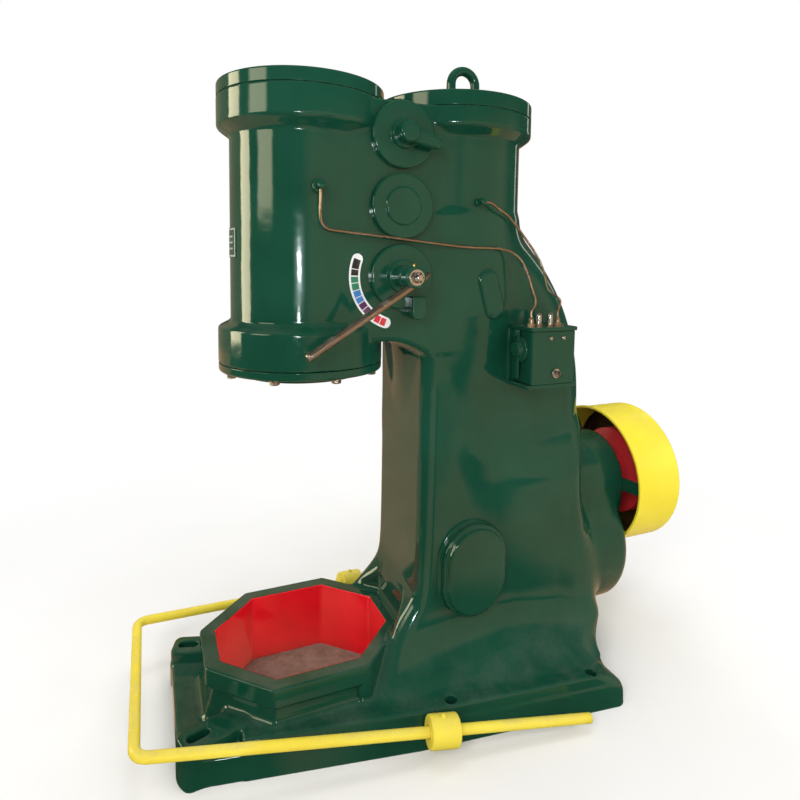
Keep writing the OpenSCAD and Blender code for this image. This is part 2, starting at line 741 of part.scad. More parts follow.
// Steps of the cover: inset of the outline and height over the column's side.
crank_cover_steps = [[0, 28], [10, 36], [20, 40]];
module crankcase_cover() {
    toward_near(crank_cover_x, column_half_w, crank_cover_z) for (step = crank_cover_steps)
        obround(crank_cover_half_w - step[0], crank_cover_half_h - step[0], step[1]);
}
module crankcase_cover_near() {
    color(GREEN) difference() {
        crankcase_cover();
        body_stack(column_levels);
    }
}
module crankcase_cover_far() { on_far_side() crankcase_cover_near(); }

// ---- Drive ----
boss_root_x = housing_rear_x - 120;
module bearing_housing() {
    lower_l = lower_housing_x - boss_root_x;
    color(GREEN) difference() {
        toward_rear(boss_root_x, 0, shaft_z) {
            cylinder(h = boss_end_x - boss_root_x, r = boss_r, $fn = fine);
            translate([lower_housing_drop, 0, 0]) cylinder(h = lower_l, r = lower_housing_r, $fn = fine);
        }
        body_stack(column_levels);
        toward_rear(boss_end_x - bearing_l, 0, shaft_z)
            cylinder(h = bearing_l + eps, r = shaft_r + running_gap, $fn = fine);
    }
}
module bearing_cap() {
    color(GREEN) toward_rear(boss_end_x, 0, shaft_z) difference() {
        edged_disc(bearing_cap_r, bearing_cap_t, 3);
        translate([0, 0, -eps]) cylinder(h = bearing_cap_t + 2 * eps, r = shaft_r + 1, $fn = fine);
    }
}
shaft_back = boss_end_x - bearing_l + 8;
shaft_washer_r = shaft_r + 12;
shaft_washer_t = 6;
module drive_shaft() {
    color(STEEL) toward_rear(shaft_back, 0, shaft_z) {
        cylinder(h = pulley_x + pulley_w - shaft_back, r = shaft_r, $fn = fine);
        translate([0, 0, pulley_x + pulley_w - shaft_back])
            cylinder(h = shaft_washer_t, r = shaft_washer_r, $fn = fine);
    }
}
web_offset = 6;
module pulley_profile() {
    pitch = pulley_w / (groove_count + 0.4);
    difference() {
        translate([pulley_r - rim_t, 0]) square([rim_t, pulley_w]);
        for (k = [0:groove_count - 1]) translate([pulley_r, (k + 0.7) * pitch])
            polygon([[eps, -groove_w / 2 - 0.4], [eps, groove_w / 2 + 0.4],
                     [-groove_h, groove_w / 3], [-groove_h, -groove_w / 3]]);
    }
    translate([shaft_r, 0]) square([pulley_hub_r - shaft_r, pulley_w]);
    translate([shaft_r, web_offset]) square([pulley_r - rim_t - shaft_r + eps, web_t]);
}
module drive_pulley() {
    color(RED) toward_rear(pulley_x, 0, shaft_z) rotate_extrude($fn = fine) pulley_profile();
}

// ---- Belt guard and its straps ----
module belt_guard() {
    color(YELLOW) difference() {
        toward_rear(guard_front_x, 0, shaft_z) rotate_extrude($fn = fine) polygon([
            [guard_r - guard_t, 0], [guard_r + guard_bead, 0], [guard_r + guard_bead, guard_bead],
            [guard_r, guard_bead], [guard_r, guard_depth], [0, guard_depth],
            [0, guard_depth - guard_t], [guard_r - guard_t, guard_depth - guard_t]]);
        translate([pulley_x - 4, 0, shaft_z - belt_slot_h - 30])
            cube([pulley_w + 8, guard_r + 10, belt_slot_h]);
    }
}
module guard_strap(angle) {
    r0 = boss_r;
    r1 = guard_r - guard_t;
    toward_rear(guard_front_x + 6, 0, shaft_z) rotate([0, 0, angle]) difference() {
        translate([0, -strap_w / 2, 0]) cube([r1 + 10, strap_w, strap_t]);
        translate([0, 0, -eps]) cylinder(h = strap_t + 2 * eps, r = r0, $fn = fine);
        difference() {
            translate([0, -strap_w, -eps]) cube([r1 + 20, 2 * strap_w, strap_t + 2 * eps]);
            translate([0, 0, -2 * eps]) cylinder(h = strap_t + 4 * eps, r = r1, $fn = fine);
        }
    }
}
module guard_straps() { color(GREEN) for (a = [30, 150, -94]) guard_strap(a); }

// ---- Lubricator ----
lub_wall_y = column_half_w;
lub_y0 = lub_wall_y + lub_bracket_t;
lub_y1 = lub_y0 + lub_d;
lub_top_z = lub_z + lub_h + lub_lid_t;
lub_mid_y = (lub_y0 + lub_y1) / 2;
pipe_front_x = lub_x + 56;
pipe_rear_x = lub_x + 112;
ratchet_l = 26;
ratchet_w = 32;
ratchet_h = 44;
ratchet_z = 84;
lub_ledge = 14;
lub_shelf_t = 12;
module lubricator_bracket() {
    color(GREEN) difference() {
        union() {
            translate([lub_x - lub_ledge, -lub_y0, lub_z - lub_shelf_t])
                cube([lub_l + 2 * lub_ledge, lub_y0 - lub_wall_y + 60, lub_h + lub_shelf_t]);
            translate([lub_x - lub_ledge, -lub_y1, lub_z - lub_shelf_t])
                cube([lub_l + 2 * lub_ledge, lub_y1 - lub_y0, lub_shelf_t]);
        }
        body_stack(column_levels);
        body_stack(shoulder_levels);
        rear_cylinder();
    }
}
module lubricator_body() {
    color(GREEN) {
        translate([lub_x, -lub_y1, lub_z]) cube([lub_l, lub_d, lub_h]);
        translate([lub_x - ratchet_l, -lub_mid_y - ratchet_w / 2, lub_z + ratchet_z])
            cube([ratchet_l, ratchet_w, ratchet_h]);
    }
}
module lubricator_lid() {
    color(GREEN) translate([lub_x - 5, -lub_y1 - 5, lub_z + lub_h]) cube([lub_l + 10, lub_d + 5, lub_lid_t]);
}
module lubricator_fittings() {
    color("#b58a50") for (x = [pipe_front_x, pipe_rear_x]) translate([x, -lub_mid_y, lub_top_z]) {
        difference() {
            union() {
                cylinder(h = 8, r = fitting_r + 3, $fn = 6);
                translate([0, 0, 8]) cylinder(h = fitting_h - 8, r = fitting_r, $fn = 48);
            }
            translate([0, 0, fitting_h - 12]) cylinder(h = 13, r = pipe_r, $fn = 32);
        }
    }
}
module drain_plug() {
    color("silver") toward_near(lub_x + 92, lub_y1, lub_z + 34) {
        cylinder(h = 4, r = 15, $fn = 48);
        translate([0, 0, 4]) cylinder(h = 12, r = 11, $fn = 6);
    }
}

// ---- Oil inlets and pipes ----
inlet_front_x = -6;
inlet_front_z = cover_top_z - 303;
inlet_front_y = front_body_r + 26;
inlet_base_r = 20;
inlet_r = 12;
inlet_sink = 8;
inlet_rear_z = cover_top_z - 322;
inlet_rear_x = cylinder_spacing - 22;
inlet_rear_y = rear_body_r + 22;
module oil_inlet_front() {
    color(GREEN) difference() {
        union() {
            toward_near(inlet_front_x, front_body_r - inlet_sink, inlet_front_z)
                cylinder(h = inlet_base_r, r = inlet_base_r, $fn = 48);
            toward_near(inlet_front_x, front_body_r, inlet_front_z)
                cylinder(h = inlet_front_y - front_body_r + inlet_r, r = inlet_r, $fn = 48);
        }
        translate([0, 0, inlet_front_z - 40]) cylinder(h = 80, r = front_body_r, $fn = fine);
        translate([inlet_front_x, -inlet_front_y, inlet_front_z - inlet_base_r])
            cylinder(h = inlet_base_r - 2, r = pipe_r, $fn = 32);
    }
}
module oil_inlet_rear() {
    color(STEEL) difference() {
        toward_near(inlet_rear_x, rear_body_r - inlet_sink, inlet_rear_z)
            cylinder(h = inlet_rear_y - rear_body_r + inlet_sink + inlet_r, r = inlet_r - 1, $fn = 48);
        translate([cylinder_spacing, 0, inlet_rear_z - 40]) cylinder(h = 80, r = rear_body_r, $fn = fine);
        toward_rear(inlet_rear_x + 3, -inlet_rear_y, inlet_rear_z)
            cylinder(h = inlet_r, r = pipe_r, $fn = 32);
    }
}
// Distance of the pipes' centre line from the middle plane along chest and cylinder.
chest_run_y = cover_face_y + pipe_r + pipe_gap;
rear_run_r = rear_body_r + pipe_r + pipe_gap;
lub_end_z = lub_top_z + fitting_h - 12;
run_z = middle_valve_z - 92;
// A point of a pipe round the compressor cylinder: the angle from the near side, the distance
// from the cylinder, and the share of the height from the lubricator's top to the pipe's run.
function round_rear(angle, out, share) = let (r = rear_body_r + out)
    [cylinder_spacing + r * sin(angle), -r * cos(angle), mix(lub_top_z, run_z, share)];
front_route = concat([
    [inlet_front_x, -inlet_front_y, inlet_front_z - 2], [inlet_front_x, -inlet_front_y, inlet_front_z - 37],
    [inlet_front_x + 1, -front_body_r - 19, inlet_front_z - 77],
    [inlet_front_x + 8, -front_body_r - 13, inlet_front_z - 101],
    [inlet_front_x + 30, -chest_run_y - 1, run_z + 18]],
    [for (i = [0:5])
        [mix(70, cylinder_spacing - 90, i / 5), -chest_run_y - (i == 5 ? 1 : 0), run_z + 13 - 32 * i / 5]],
    [[cylinder_spacing - 40, -rear_run_r, run_z - 22]],
    [for (p = [[2.5, 5.5, 0.915], [14, 15.5, 0.905], [22.1, 32.8, 0.863], [27.1, 49.9, 0.775],
               [29.8, 63.8, 0.634], [32.1, 75.4, 0.458], [33.9, 86.4, 0.282]])
        round_rear(p[0], p[1], p[2])],
    [[pipe_front_x, -lub_mid_y, lub_top_z + 45], [pipe_front_x, -lub_mid_y, lub_end_z]]);
rear_route = concat([
    [inlet_rear_x + 4, -inlet_rear_y, inlet_rear_z], [inlet_rear_x + 30, -inlet_rear_y, inlet_rear_z - 2]],
    [for (p = [[9, 21, 1.366], [18, 17.7, 1.31], [27.4, 16.8, 1.232], [35.8, 24.4, 1.134], [41.3, 41.6, 1.014],
               [44.4, 63.7, 0.88], [45.5, 83.5, 0.739], [45.3, 99, 0.581], [44, 111.8, 0.423]])
        round_rear(p[0], p[1], p[2])],
    [[pipe_rear_x, -lub_mid_y + 8, lub_top_z + 80], [pipe_rear_x, -lub_mid_y, lub_top_z + 48],
     [pipe_rear_x, -lub_mid_y, lub_end_z]]);
function tangent(route, i) = let (a = route[max(0, i - 1)], b = route[min(len(route) - 1, i + 1)])
    (b - a) / norm(b - a);
function unit(v) = v / norm(v);
// A round tube swept along the points of a route.
module tube(route, r, sides = 8) {
    rings = [for (i = [0:len(route) - 1])
        let (t = tangent(route, i), u = unit(cross(t, [0.3, 1, 0.2])), v = cross(t, u))
        [for (k = [0:sides - 1]) route[i] + r * (cos(360 * k / sides) * u + sin(360 * k / sides) * v)]];
    n = sides;
    last = (len(rings) - 1) * n;
    polyhedron([for (ring = rings) each ring], concat(
        [[for (k = [0:n - 1]) k]],
        [for (i = [0:len(rings) - 2], k = [0:n - 1]) each
            let (a = i * n + k, b = i * n + (k + 1) % n) [[a, a + n, b], [b, a + n, b + n]]],
        [[for (k = [n - 1:-1:0]) last + k]]));
}
module oil_pipe_front() { color(COPPER) tube(front_route, pipe_r); }
module oil_pipe_rear() { color(COPPER) tube(rear_route, pipe_r); }

// ---- Treadle ----
bar_run = [pivot_x + treadle_front_x, -(pivot_half_w - treadle_half_w), pivot_z - treadle_front_z];
bar_dir = bar_run / norm(bar_run);
bar_end = [pivot_x, -pivot_half_w, pivot_z] + bar_dir * treadle_tail;
front_corner = [-treadle_front_x, -treadle_half_w, treadle_front_z];
bend_in = front_corner + bar_dir * treadle_bend_r;
bend_out = front_corner + [0, treadle_bend_r, 0];
module rod_between(a, b, r) {
    d = b - a;
    translate(a) rotate([0, acos(d.z / norm(d)), atan2(d.y, d.x)]) cylinder(h = norm(d), r = r, $fn = 48);
}
// Room between the pivot pin's end and the treadle's slanting bar.
pin_gap = 5;
// One side of the treadle from the bar's rear end to the middle of the front bar, with a bent corner.
bend_steps = 5;
bend_points = [for (i = [0:bend_steps]) let (t = i / bend_steps)
    (1 - t) * (1 - t) * bend_in + 2 * t * (1 - t) * front_corner + t * t * bend_out];
near_side_route = concat([bar_end], bend_points);
treadle_route = concat(near_side_route, [for (p = reversed(near_side_route)) [p.x, -p.y, p.z]]);
module treadle_frame() { color(YELLOW) tube(treadle_route, bar_r, 24); }
module pivot_pin() {
    y0 = base_mid_half_w - plate_draft - pivot_pin_seat;
    toward_near(pivot_x, y0, pivot_z)
        cylinder(h = pivot_half_w - bar_r - pin_gap - y0, r = pivot_pin_r, $fn = 48);
}
module pivot_seat() {
    y0 = base_mid_half_w - plate_draft - pivot_pin_seat;
    toward_near(pivot_x, y0, pivot_z) cylinder(h = pivot_pin_seat + 60, r = pivot_pin_r, $fn = 48);
}
module collar() {
    centre = [pivot_x, -pivot_half_w, pivot_z];
    difference() {
        union() {
            rod_between(centre - bar_dir * collar_l / 2, centre + bar_dir * collar_l / 2, collar_r);
            translate(centre) cylinder(h = collar_r + 10, r = 6, $fn = 32);
        }
        rod_between(centre - bar_dir * collar_l, centre + bar_dir * collar_l, bar_r);
        toward_near(pivot_x, pivot_half_w - collar_r - 10, pivot_z)
            cylinder(h = collar_r + 9, r = pivot_pin_r + running_gap, $fn = 48);
    }
}
module treadle_collar_near() { color(YELLOW) collar(); }
module treadle_collar_far() { color(YELLOW) on_far_side() collar(); }
module pivot_pin_near() { color(STEEL) pivot_pin(); }
module pivot_pin_far() { color(STEEL) on_far_side() pivot_pin(); }

base_casting();
column_casting();
cylinder_block();
front_cylinder_cover();
rear_cylinder_cover();
lifting_eye();
vent_plug();
ram_guide();
ram();
upper_valve_cover();
middle_valve_cover();
lower_valve_cover();
far_upper_cover();
far_middle_cover();
far_lower_cover();
upper_valve_handle();
lever_hub();
hand_lever();
lever_nut();
lever_stop();
scale_plate();
name_plate();
oblong_cover();
crankcase_cover_near();
crankcase_cover_far();
bearing_housing();
bearing_cap();
drive_shaft();
drive_pulley();
belt_guard();
guard_straps();
lubricator_bracket();
lubricator_body();
lubricator_lid();
lubricator_fittings();
drain_plug();
oil_inlet_front();
oil_inlet_rear();
oil_pipe_front();
oil_pipe_rear();
treadle_frame();
treadle_collar_near();
treadle_collar_far();
pivot_pin_near();
pivot_pin_far();
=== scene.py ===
"""Pneumatic forging hammer: cast frame with two upright cylinders, anvil pit, lever, treadle and belt guard.

Everything is in metres, with the origin on the floor under the ram's axis, X towards the belt
guard, Z up and the hand lever on the -Y side.
"""
import math

import bpy
import numpy as np
from mathutils import Matrix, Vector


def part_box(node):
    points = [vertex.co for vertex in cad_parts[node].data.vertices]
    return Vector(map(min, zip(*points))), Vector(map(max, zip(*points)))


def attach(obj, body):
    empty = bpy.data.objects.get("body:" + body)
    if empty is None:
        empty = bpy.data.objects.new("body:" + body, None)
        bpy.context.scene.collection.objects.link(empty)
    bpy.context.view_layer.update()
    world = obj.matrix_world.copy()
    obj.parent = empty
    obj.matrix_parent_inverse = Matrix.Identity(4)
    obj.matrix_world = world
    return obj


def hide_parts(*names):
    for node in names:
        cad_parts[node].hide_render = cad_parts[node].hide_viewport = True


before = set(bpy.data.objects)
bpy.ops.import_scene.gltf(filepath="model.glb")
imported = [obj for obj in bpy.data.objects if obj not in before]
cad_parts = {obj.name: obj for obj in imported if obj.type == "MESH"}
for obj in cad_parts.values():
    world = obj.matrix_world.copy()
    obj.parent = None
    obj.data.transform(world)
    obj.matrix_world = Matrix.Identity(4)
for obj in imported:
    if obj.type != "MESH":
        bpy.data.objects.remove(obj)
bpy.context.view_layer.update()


def span(node):
    """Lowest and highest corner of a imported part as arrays."""
    lo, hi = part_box(node)
    return np.array(lo), np.array(hi)


def middle(node):
    """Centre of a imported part's box."""
    lo, hi = span(node)
    return (lo + hi) / 2


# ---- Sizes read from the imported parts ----
RAM_COVER = span("front_cylinder_cover")
REAR_COVER = span("rear_cylinder_cover")
TOP_Z = RAM_COVER[1][2]
RAM_JOINT_Z = RAM_COVER[0][2]
REAR_JOINT_Z = REAR_COVER[0][2]
RAM_FLANGE_R = RAM_COVER[1][0]
REAR_X = middle("rear_cylinder_cover")[0]
REAR_FLANGE_R = REAR_COVER[1][0] - REAR_X
FLANGE_W = 0.036
RAM_R = RAM_FLANGE_R - FLANGE_W
REAR_R = REAR_FLANGE_R - FLANGE_W
CHEST_W = -span("upper_valve_cover")[1][1]
LOWER_FLANGE_Z = span("cylinder_block")[0][2]
VALVE_X = middle("middle_valve_cover")[0]
VALVE_Z = [middle(n)[2] for n in ("upper_valve_cover", "middle_valve_cover", "lower_valve_cover")]
VALVE_R = (span("middle_valve_cover")[1][0] - span("middle_valve_cover")[0][0]) / 2
SHAFT_Z = middle("drive_shaft")[2]
BOSS_END_X = span("bearing_housing")[1][0]
GUARD = span("belt_guard")
PLATE_H = span("column_casting")[0][2]
PIT_TOP_Z = span("base_casting")[1][2]

def put(name, data):
    """A new object in the scene."""
    made = bpy.data.objects.new(name, data)
    bpy.context.scene.collection.objects.link(made)
    return made


def aimed(thing, across, over, back, at):
    """Sets a camera or lamp at a place: across and over span its picture, back points away from it."""
    matrix = np.eye(4)
    matrix[:3, 0], matrix[:3, 1], matrix[:3, 2], matrix[:3, 3] = across, over, back, at
    thing.matrix_world = Matrix(matrix.tolist())


def unit(vector):
    """The vector at length 1."""
    return vector / np.linalg.norm(vector)


# ---- Camera ----
CAMERA_AT = (-0.4359, -1.7919, 1.3973)
CAMERA_YAW, CAMERA_PITCH, CAMERA_ROLL = 0.4038, -0.082, 0.0136
CAMERA_LENS_MM, CAMERA_SENSOR_MM = 26.63, 36.0
CAMERA_SHIFT_Y = -0.1125


def make_camera():
    """Camera turned by yaw from +Y towards +X, tipped by pitch and rolled about its view."""
    cos_p, sin_p = math.cos(CAMERA_PITCH), math.sin(CAMERA_PITCH)
    forward = np.array([math.sin(CAMERA_YAW) * cos_p, math.cos(CAMERA_YAW) * cos_p, sin_p])
    right = np.array([math.cos(CAMERA_YAW), -math.sin(CAMERA_YAW), 0])
    up = np.cross(right, forward)
    across = right * math.cos(CAMERA_ROLL) + up * math.sin(CAMERA_ROLL)
    over = up * math.cos(CAMERA_ROLL) - right * math.sin(CAMERA_ROLL)
    data = bpy.data.cameras.new("camera")
    data.sensor_width, data.lens = CAMERA_SENSOR_MM, CAMERA_LENS_MM
    data.shift_y = CAMERA_SHIFT_Y
    data.clip_end = 60
    camera = put("camera", data)
    aimed(camera, across, over, -forward, CAMERA_AT)
    bpy.context.scene.camera = camera


# ---- Node helpers ----
def graph(tree):
    """A function that adds a node to the tree: sockets are given by name or place, as values or links."""
    def add(kind, sockets=None, out=0, **settings):
        node = tree.nodes.new("ShaderNode" + kind)
        for key, value in settings.items():
            setattr(node, key, value)
        for key, value in (sockets or {}).items():
            if isinstance(value, bpy.types.NodeSocket):
                tree.links.new(value, node.inputs[key])
            else:
                node.inputs[key].default_value = value
        return node if out is None else node.outputs[out]
    return add


def operator(kind):
    """A function that adds one kind of Math node."""
    def made(add, a, b=0.5, clamp=False):
        return add("Math", {0: a, 1: b}, operation=kind, use_clamp=clamp)
    return made


times, plus, less, most = map(operator, ("MULTIPLY", "ADD", "SUBTRACT", "MAXIMUM"))
absolute, square_root, angle_of = map(operator, ("ABSOLUTE", "SQRT", "ARCTAN2"))
modulo, ratio, fraction = map(operator, ("FLOORED_MODULO", "DIVIDE", "FRACT"))


def hypotenuse(add, a, b):
    """Length of the hypotenuse over the legs a and b."""
    return square_root(add, plus(add, times(add, a, a), times(add, b, b)))


def coordinates(add):
    """The place on the object, then its x, y and z."""
    where = add("TexCoord", out=3)
    return where, *(add("SeparateXYZ", {0: where}, out=k) for k in range(3))


def blend_colour(add, share, a, b):
    """Colour a turned towards colour b by the share."""
    return add("Mix", {0: share, 6: a, 7: b}, out=2, data_type="RGBA")


def blend_value(add, share, a, b):
    """Value a turned towards value b by the share."""
    return add("Mix", {0: share, 2: a, 3: b}, out=0, data_type="FLOAT")


def steps(add, value, low, high, to_low=0.0, to_high=1.0):
    """Value carried from the range low to high onto another range, clamped."""
    return add("MapRange", {0: value, 1: low, 2: high, 3: to_low, 4: to_high}, clamp=True)


def window(add, value, low, high, blur):
    """Rises softly from 0 to 1 about low and falls softly back about high."""
    rise = steps(add, value, low - blur / 2, low + blur / 2)
    return times(add, rise, steps(add, value, high + blur / 2, high - blur / 2))


def noise(add, where, scale, detail=3.0, rough=0.5):
    """Noise at the place where, about 0.5."""
    return add("TexNoise", {"Vector": where, "Scale": scale, "Detail": detail, "Roughness": rough})


def stretched(add, where, scale):
    """Coordinates scaled unevenly, for streaks."""
    return add("Mapping", {"Vector": where, "Scale": scale})


def group(name, inputs, outputs, build):
    """A shader node group with named sockets, filled in by build(add, inputs) -> {output: link}."""
    tree = bpy.data.node_groups.new(name, "ShaderNodeTree")
    kinds = {"Color": "NodeSocketColor", "Value": "NodeSocketFloat", "Vector": "NodeSocketVector"}
    for label, (kind, value) in inputs.items():
        socket = tree.interface.new_socket(label, in_out="INPUT", socket_type=kinds[kind])
        socket.default_value = value
    for label, kind in outputs.items():
        tree.interface.new_socket(label, in_out="OUTPUT", socket_type=kinds[kind])
    entry, leave = tree.nodes.new("NodeGroupInput"), tree.nodes.new("NodeGroupOutput")
    made = build(graph(tree), entry.outputs)
    for label, link in made.items():
        tree.links.new(link, leave.inputs[label])
    return tree


def build_paint(add, given):
    """Enamel over metal: two shades by slow noise, dust on what faces up, chips on edges."""
    where = add("TexCoord", out=3)
    slow = noise(add, where, 2.6, 3, 0.55)
    patches = noise(add, where, 9.0, 5, 0.6)
    shade = steps(add, slow, 0.35, 0.68)
    colour = blend_colour(add, shade, given["Colour"], given["Second Colour"])
    streak = noise(add, stretched(add, where, (34, 34, 2.2)), 1.0, 3, 0.5)
    colour = blend_colour(add, steps(add, streak, 0.45, 0.8, 0, 0.22), colour, given["Second Colour"])
    up = add("SeparateXYZ", {0: add("NewGeometry", out=1)}, out=2)
    lying = steps(add, up, 0.35, 0.95)
    specks = steps(add, patches, 0.40, 0.72)
    dust = times(add, times(add, lying, specks), given["Dust"], True)
    fine = noise(add, where, 160, 2, 0.5)
    dust = times(add, dust, steps(add, fine, 0.3, 0.6, 0.55, 1))
    colour = blend_colour(add, dust, colour, given["Dust Colour"])
    edge = add("Attribute", out=2, attribute_name="edge")
    torn = noise(add, where, 55, 6, 0.68)
    chip = plus(add, times(add, edge, 0.30), times(add, torn, 0.70))
    chip = times(add, steps(add, chip, 0.62, 0.66), given["Wear"], True)
    colour = blend_colour(add, chip, colour, given["Chip Colour"])
    rough = steps(add, patches, 0.3, 0.75, 0.0, 0.05)
    rough = plus(add, rough, given["Roughness"])
    rough = blend_value(add, dust, rough, 0.55)
    rough = blend_value(add, chip, rough, 0.5)
    wave = times(add, noise(add, where, 11, 2, 0.45), given["Waves"])
    peel = times(add, noise(add, where, 210, 1, 0.4), given["Peel"])
    height = plus(add, wave, peel)
    height = less(add, height, times(add, chip, 0.1))
    return {"Colour": colour, "Roughness": rough, "Height": height, "Chip": chip}


def build_grain(add, given):
    """Worked metal: fine lines along one axis, slow stains and darker spots."""
    where = add("TexCoord", out=3)
    lines = noise(add, stretched(add, where, given["Grain"]), 1.0, 4, 0.6)
    stain = noise(add, where, given["Stain Scale"], 5, 0.62)
    colour = blend_colour(add, steps(add, lines, 0.3, 0.7), given["Colour"], given["Second Colour"])
    spotted = times(add, steps(add, stain, 0.52, 0.70), given["Stain"], True)
    colour = blend_colour(add, spotted, colour, given["Stain Colour"])
    rough = steps(add, lines, 0.25, 0.75, -0.06, 0.08)
    rough = plus(add, rough, given["Roughness"])
    rough = plus(add, rough, times(add, spotted, 0.25), True)
    return {"Colour": colour, "Roughness": rough, "Height": lines, "Stain": spotted}


PAINT = group(
    "paint_film",
    {"Colour": ("Color", (0.01, 0.07, 0.04, 1)), "Second Colour": ("Color", (0.02, 0.1, 0.06, 1)),
     "Dust Colour": ("Color", (0.25, 0.24, 0.2, 1)), "Chip Colour": ("Color", (0.05, 0.04, 0.03, 1)),
     "Dust": ("Value", 0.2), "Wear": ("Value", 0.0), "Roughness": ("Value", 0.1),
     "Waves": ("Value", 1.0), "Peel": ("Value", 0.05)},
    {"Colour": "Color", "Roughness": "Value", "Height": "Value", "Chip": "Value"}, build_paint)
GRAIN = group(
    "metal_grain",
    {"Colour": ("Color", (0.4, 0.4, 0.4, 1)), "Second Colour": ("Color", (0.5, 0.5, 0.5, 1)),
     "Stain Colour": ("Color", (0.1, 0.06, 0.03, 1)), "Grain": ("Vector", (300, 300, 20)),
     "Stain Scale": ("Value", 30.0), "Stain": ("Value", 0.5), "Roughness": ("Value", 0.3)},
    {"Colour": "Color", "Roughness": "Value", "Height": "Value", "Stain": "Value"}, build_grain)


def start_material(name):
    """An empty node material with its output, and the function that adds nodes to it."""
    material = bpy.data.materials.new(name)
    material.use_nodes = True
    tree = material.node_tree
    tree.nodes.clear()
    return material, graph(tree), tree.nodes.new("ShaderNodeOutputMaterial")


def group_node(add, tree, values):
    """A group node with its inputs set."""
    node = add("Group", {}, out=None)
    node.node_tree = tree
    for key, value in values.items():
        node.inputs[key].default_value = value
    return node


def shader(add, output, sockets):
    """The Principled shader, joined to the output."""
    node = add("BsdfPrincipled", sockets, out=None)
    output.id_data.links.new(node.outputs[0], output.inputs[0])
    return node


def paint(name, colour, second, dust=0.2, wear=0.0, rough=0.06, waves=1.0, peel=0.04, relief=0.0011,
          chip=(0.05, 0.04, 0.03), specular=0.5, dust_colour=(0.21, 0.21, 0.17), lining_and_shade=None):
    """An enamel material. The given colour function may change the colour in one place: the pit's red lining
    is real paint, the dark inside of the belt guard is painted shade.
    """
    material, add, output = start_material(name)
    film = group_node(add, PAINT, {
        "Colour": (*colour, 1), "Second Colour": (*second, 1), "Dust Colour": (*dust_colour, 1),
        "Chip Colour": (*chip, 1), "Dust": dust, "Wear": wear, "Roughness": rough, "Waves": waves,
        "Peel": peel})
    tint = film.outputs["Colour"]
    if lining_and_shade:
        tint = lining_and_shade(add, tint)
    normal = add("Bump", {"Height": film.outputs["Height"], "Distance": relief, "Strength": 1.0})
    shader(add, output, {
        "Base Color": tint, "Roughness": film.outputs["Roughness"], "Normal": normal,
        "Specular IOR Level": specular})
    return material


def metal(name, colour, second, stain_colour, grain, stain=0.5, stain_scale=30.0, rough=0.3, relief=0.0002):
    """A bare metal material."""
    material, add, output = start_material(name)
    worked = group_node(add, GRAIN, {
        "Colour": (*colour, 1), "Second Colour": (*second, 1), "Stain Colour": (*stain_colour, 1),
        "Grain": grain, "Stain": stain, "Stain Scale": stain_scale, "Roughness": rough})
    bare = less(add, 1.0, times(add, worked.outputs["Stain"], 0.8))
    normal = add("Bump", {"Height": worked.outputs["Height"], "Distance": relief, "Strength": 0.6})
    shader(add, output, {
        "Base Color": worked.outputs["Colour"], "Roughness": worked.outputs["Roughness"],
        "Metallic": bare, "Normal": normal})
    return material


# ---- Finishes ----
PIT_HALF = (0.259, 0.213)
PIT_CORNER = 0.137
PIT_DIAGONAL = PIT_HALF[0] + PIT_HALF[1] - PIT_CORNER
RED = (0.95, 0.014, 0.028)


def red_lining(add, tint):
    """The pit's walls are red: inside the eight-sided outline, with a slightly uneven paint line."""
    where, x, y, z = coordinates(add)
    x, y = absolute(add, x), absolute(add, y)
    corners = times(add, less(add, plus(add, x, y), PIT_DIAGONAL), math.sqrt(0.5))
    out = most(add, most(add, less(add, x, PIT_HALF[0]), less(add, y, PIT_HALF[1])), corners)
    wobble = times(add, less(add, noise(add, where, 26, 3), 0.5), 0.0035)
    inside = steps(add, plus(add, out, wobble), 0.0026, 0.0018)
    inside = times(add, inside, steps(add, z, 0.31, 0.30))
    cloudy = steps(add, noise(add, where, 7, 4, 0.6), 0.35, 0.7)
    red = blend_colour(add, cloudy, (*RED, 1), (0.85, 0.010, 0.020, 1))
    low = plus(add, z, times(add, noise(add, where, 14, 4, 0.65), 0.10))
    red = blend_colour(add, steps(add, low, 0.085, 0.05, 0, 0.30), red, (0.30, 0.03, 0.02, 1))
    return blend_colour(add, inside, tint, red)


GREEN = (0.0045, 0.050, 0.027)
GREEN_LIGHT = (0.0085, 0.068, 0.039)
GREEN_CHIP = (0.02, 0.045, 0.03)
ENAMEL = paint("green_enamel_cast", GREEN, GREEN_LIGHT, dust=0.20, wear=0.12, lining_and_shade=red_lining,
               chip=GREEN_CHIP)
ENAMEL_PLAIN = paint("green_enamel_part", GREEN, GREEN_LIGHT, dust=0.16, wear=0.1, waves=0.5, chip=GREEN_CHIP)
# How far inside the guard's wall the painted shade begins.
GUARD_SHADE_INSET = 0.0066
YELLOW = paint("yellow_enamel_bar", (0.80, 0.62, 0.045), (0.90, 0.74, 0.08), dust=0.5, wear=0.9, rough=0.24,
               waves=0.6, peel=0.14, chip=(0.10, 0.075, 0.03), specular=0.3, dust_colour=(0.42, 0.36, 0.20))


def guard_painted_shade(add, tint):
    """Painted shade: behind the pulley's front face the inside of the guard is painted dark brown, standing
    in for the shade between its walls.
    """
    where, x, y, z = coordinates(add)
    reach = hypotenuse(add, y, less(add, z, SHAFT_Z))
    wall = (GUARD[1][1] - GUARD[0][1]) / 2 - GUARD_SHADE_INSET
    inside = steps(add, reach, wall, wall - 0.001)
    edge = plus(add, x, times(add, noise(add, where, 18, 3), 0.03))
    front = span("drive_pulley")[0][0]
    inside = times(add, inside, steps(add, edge, front + 0.064, front + 0.072))
    return blend_colour(add, inside, tint, (0.045, 0.022, 0.010, 1))
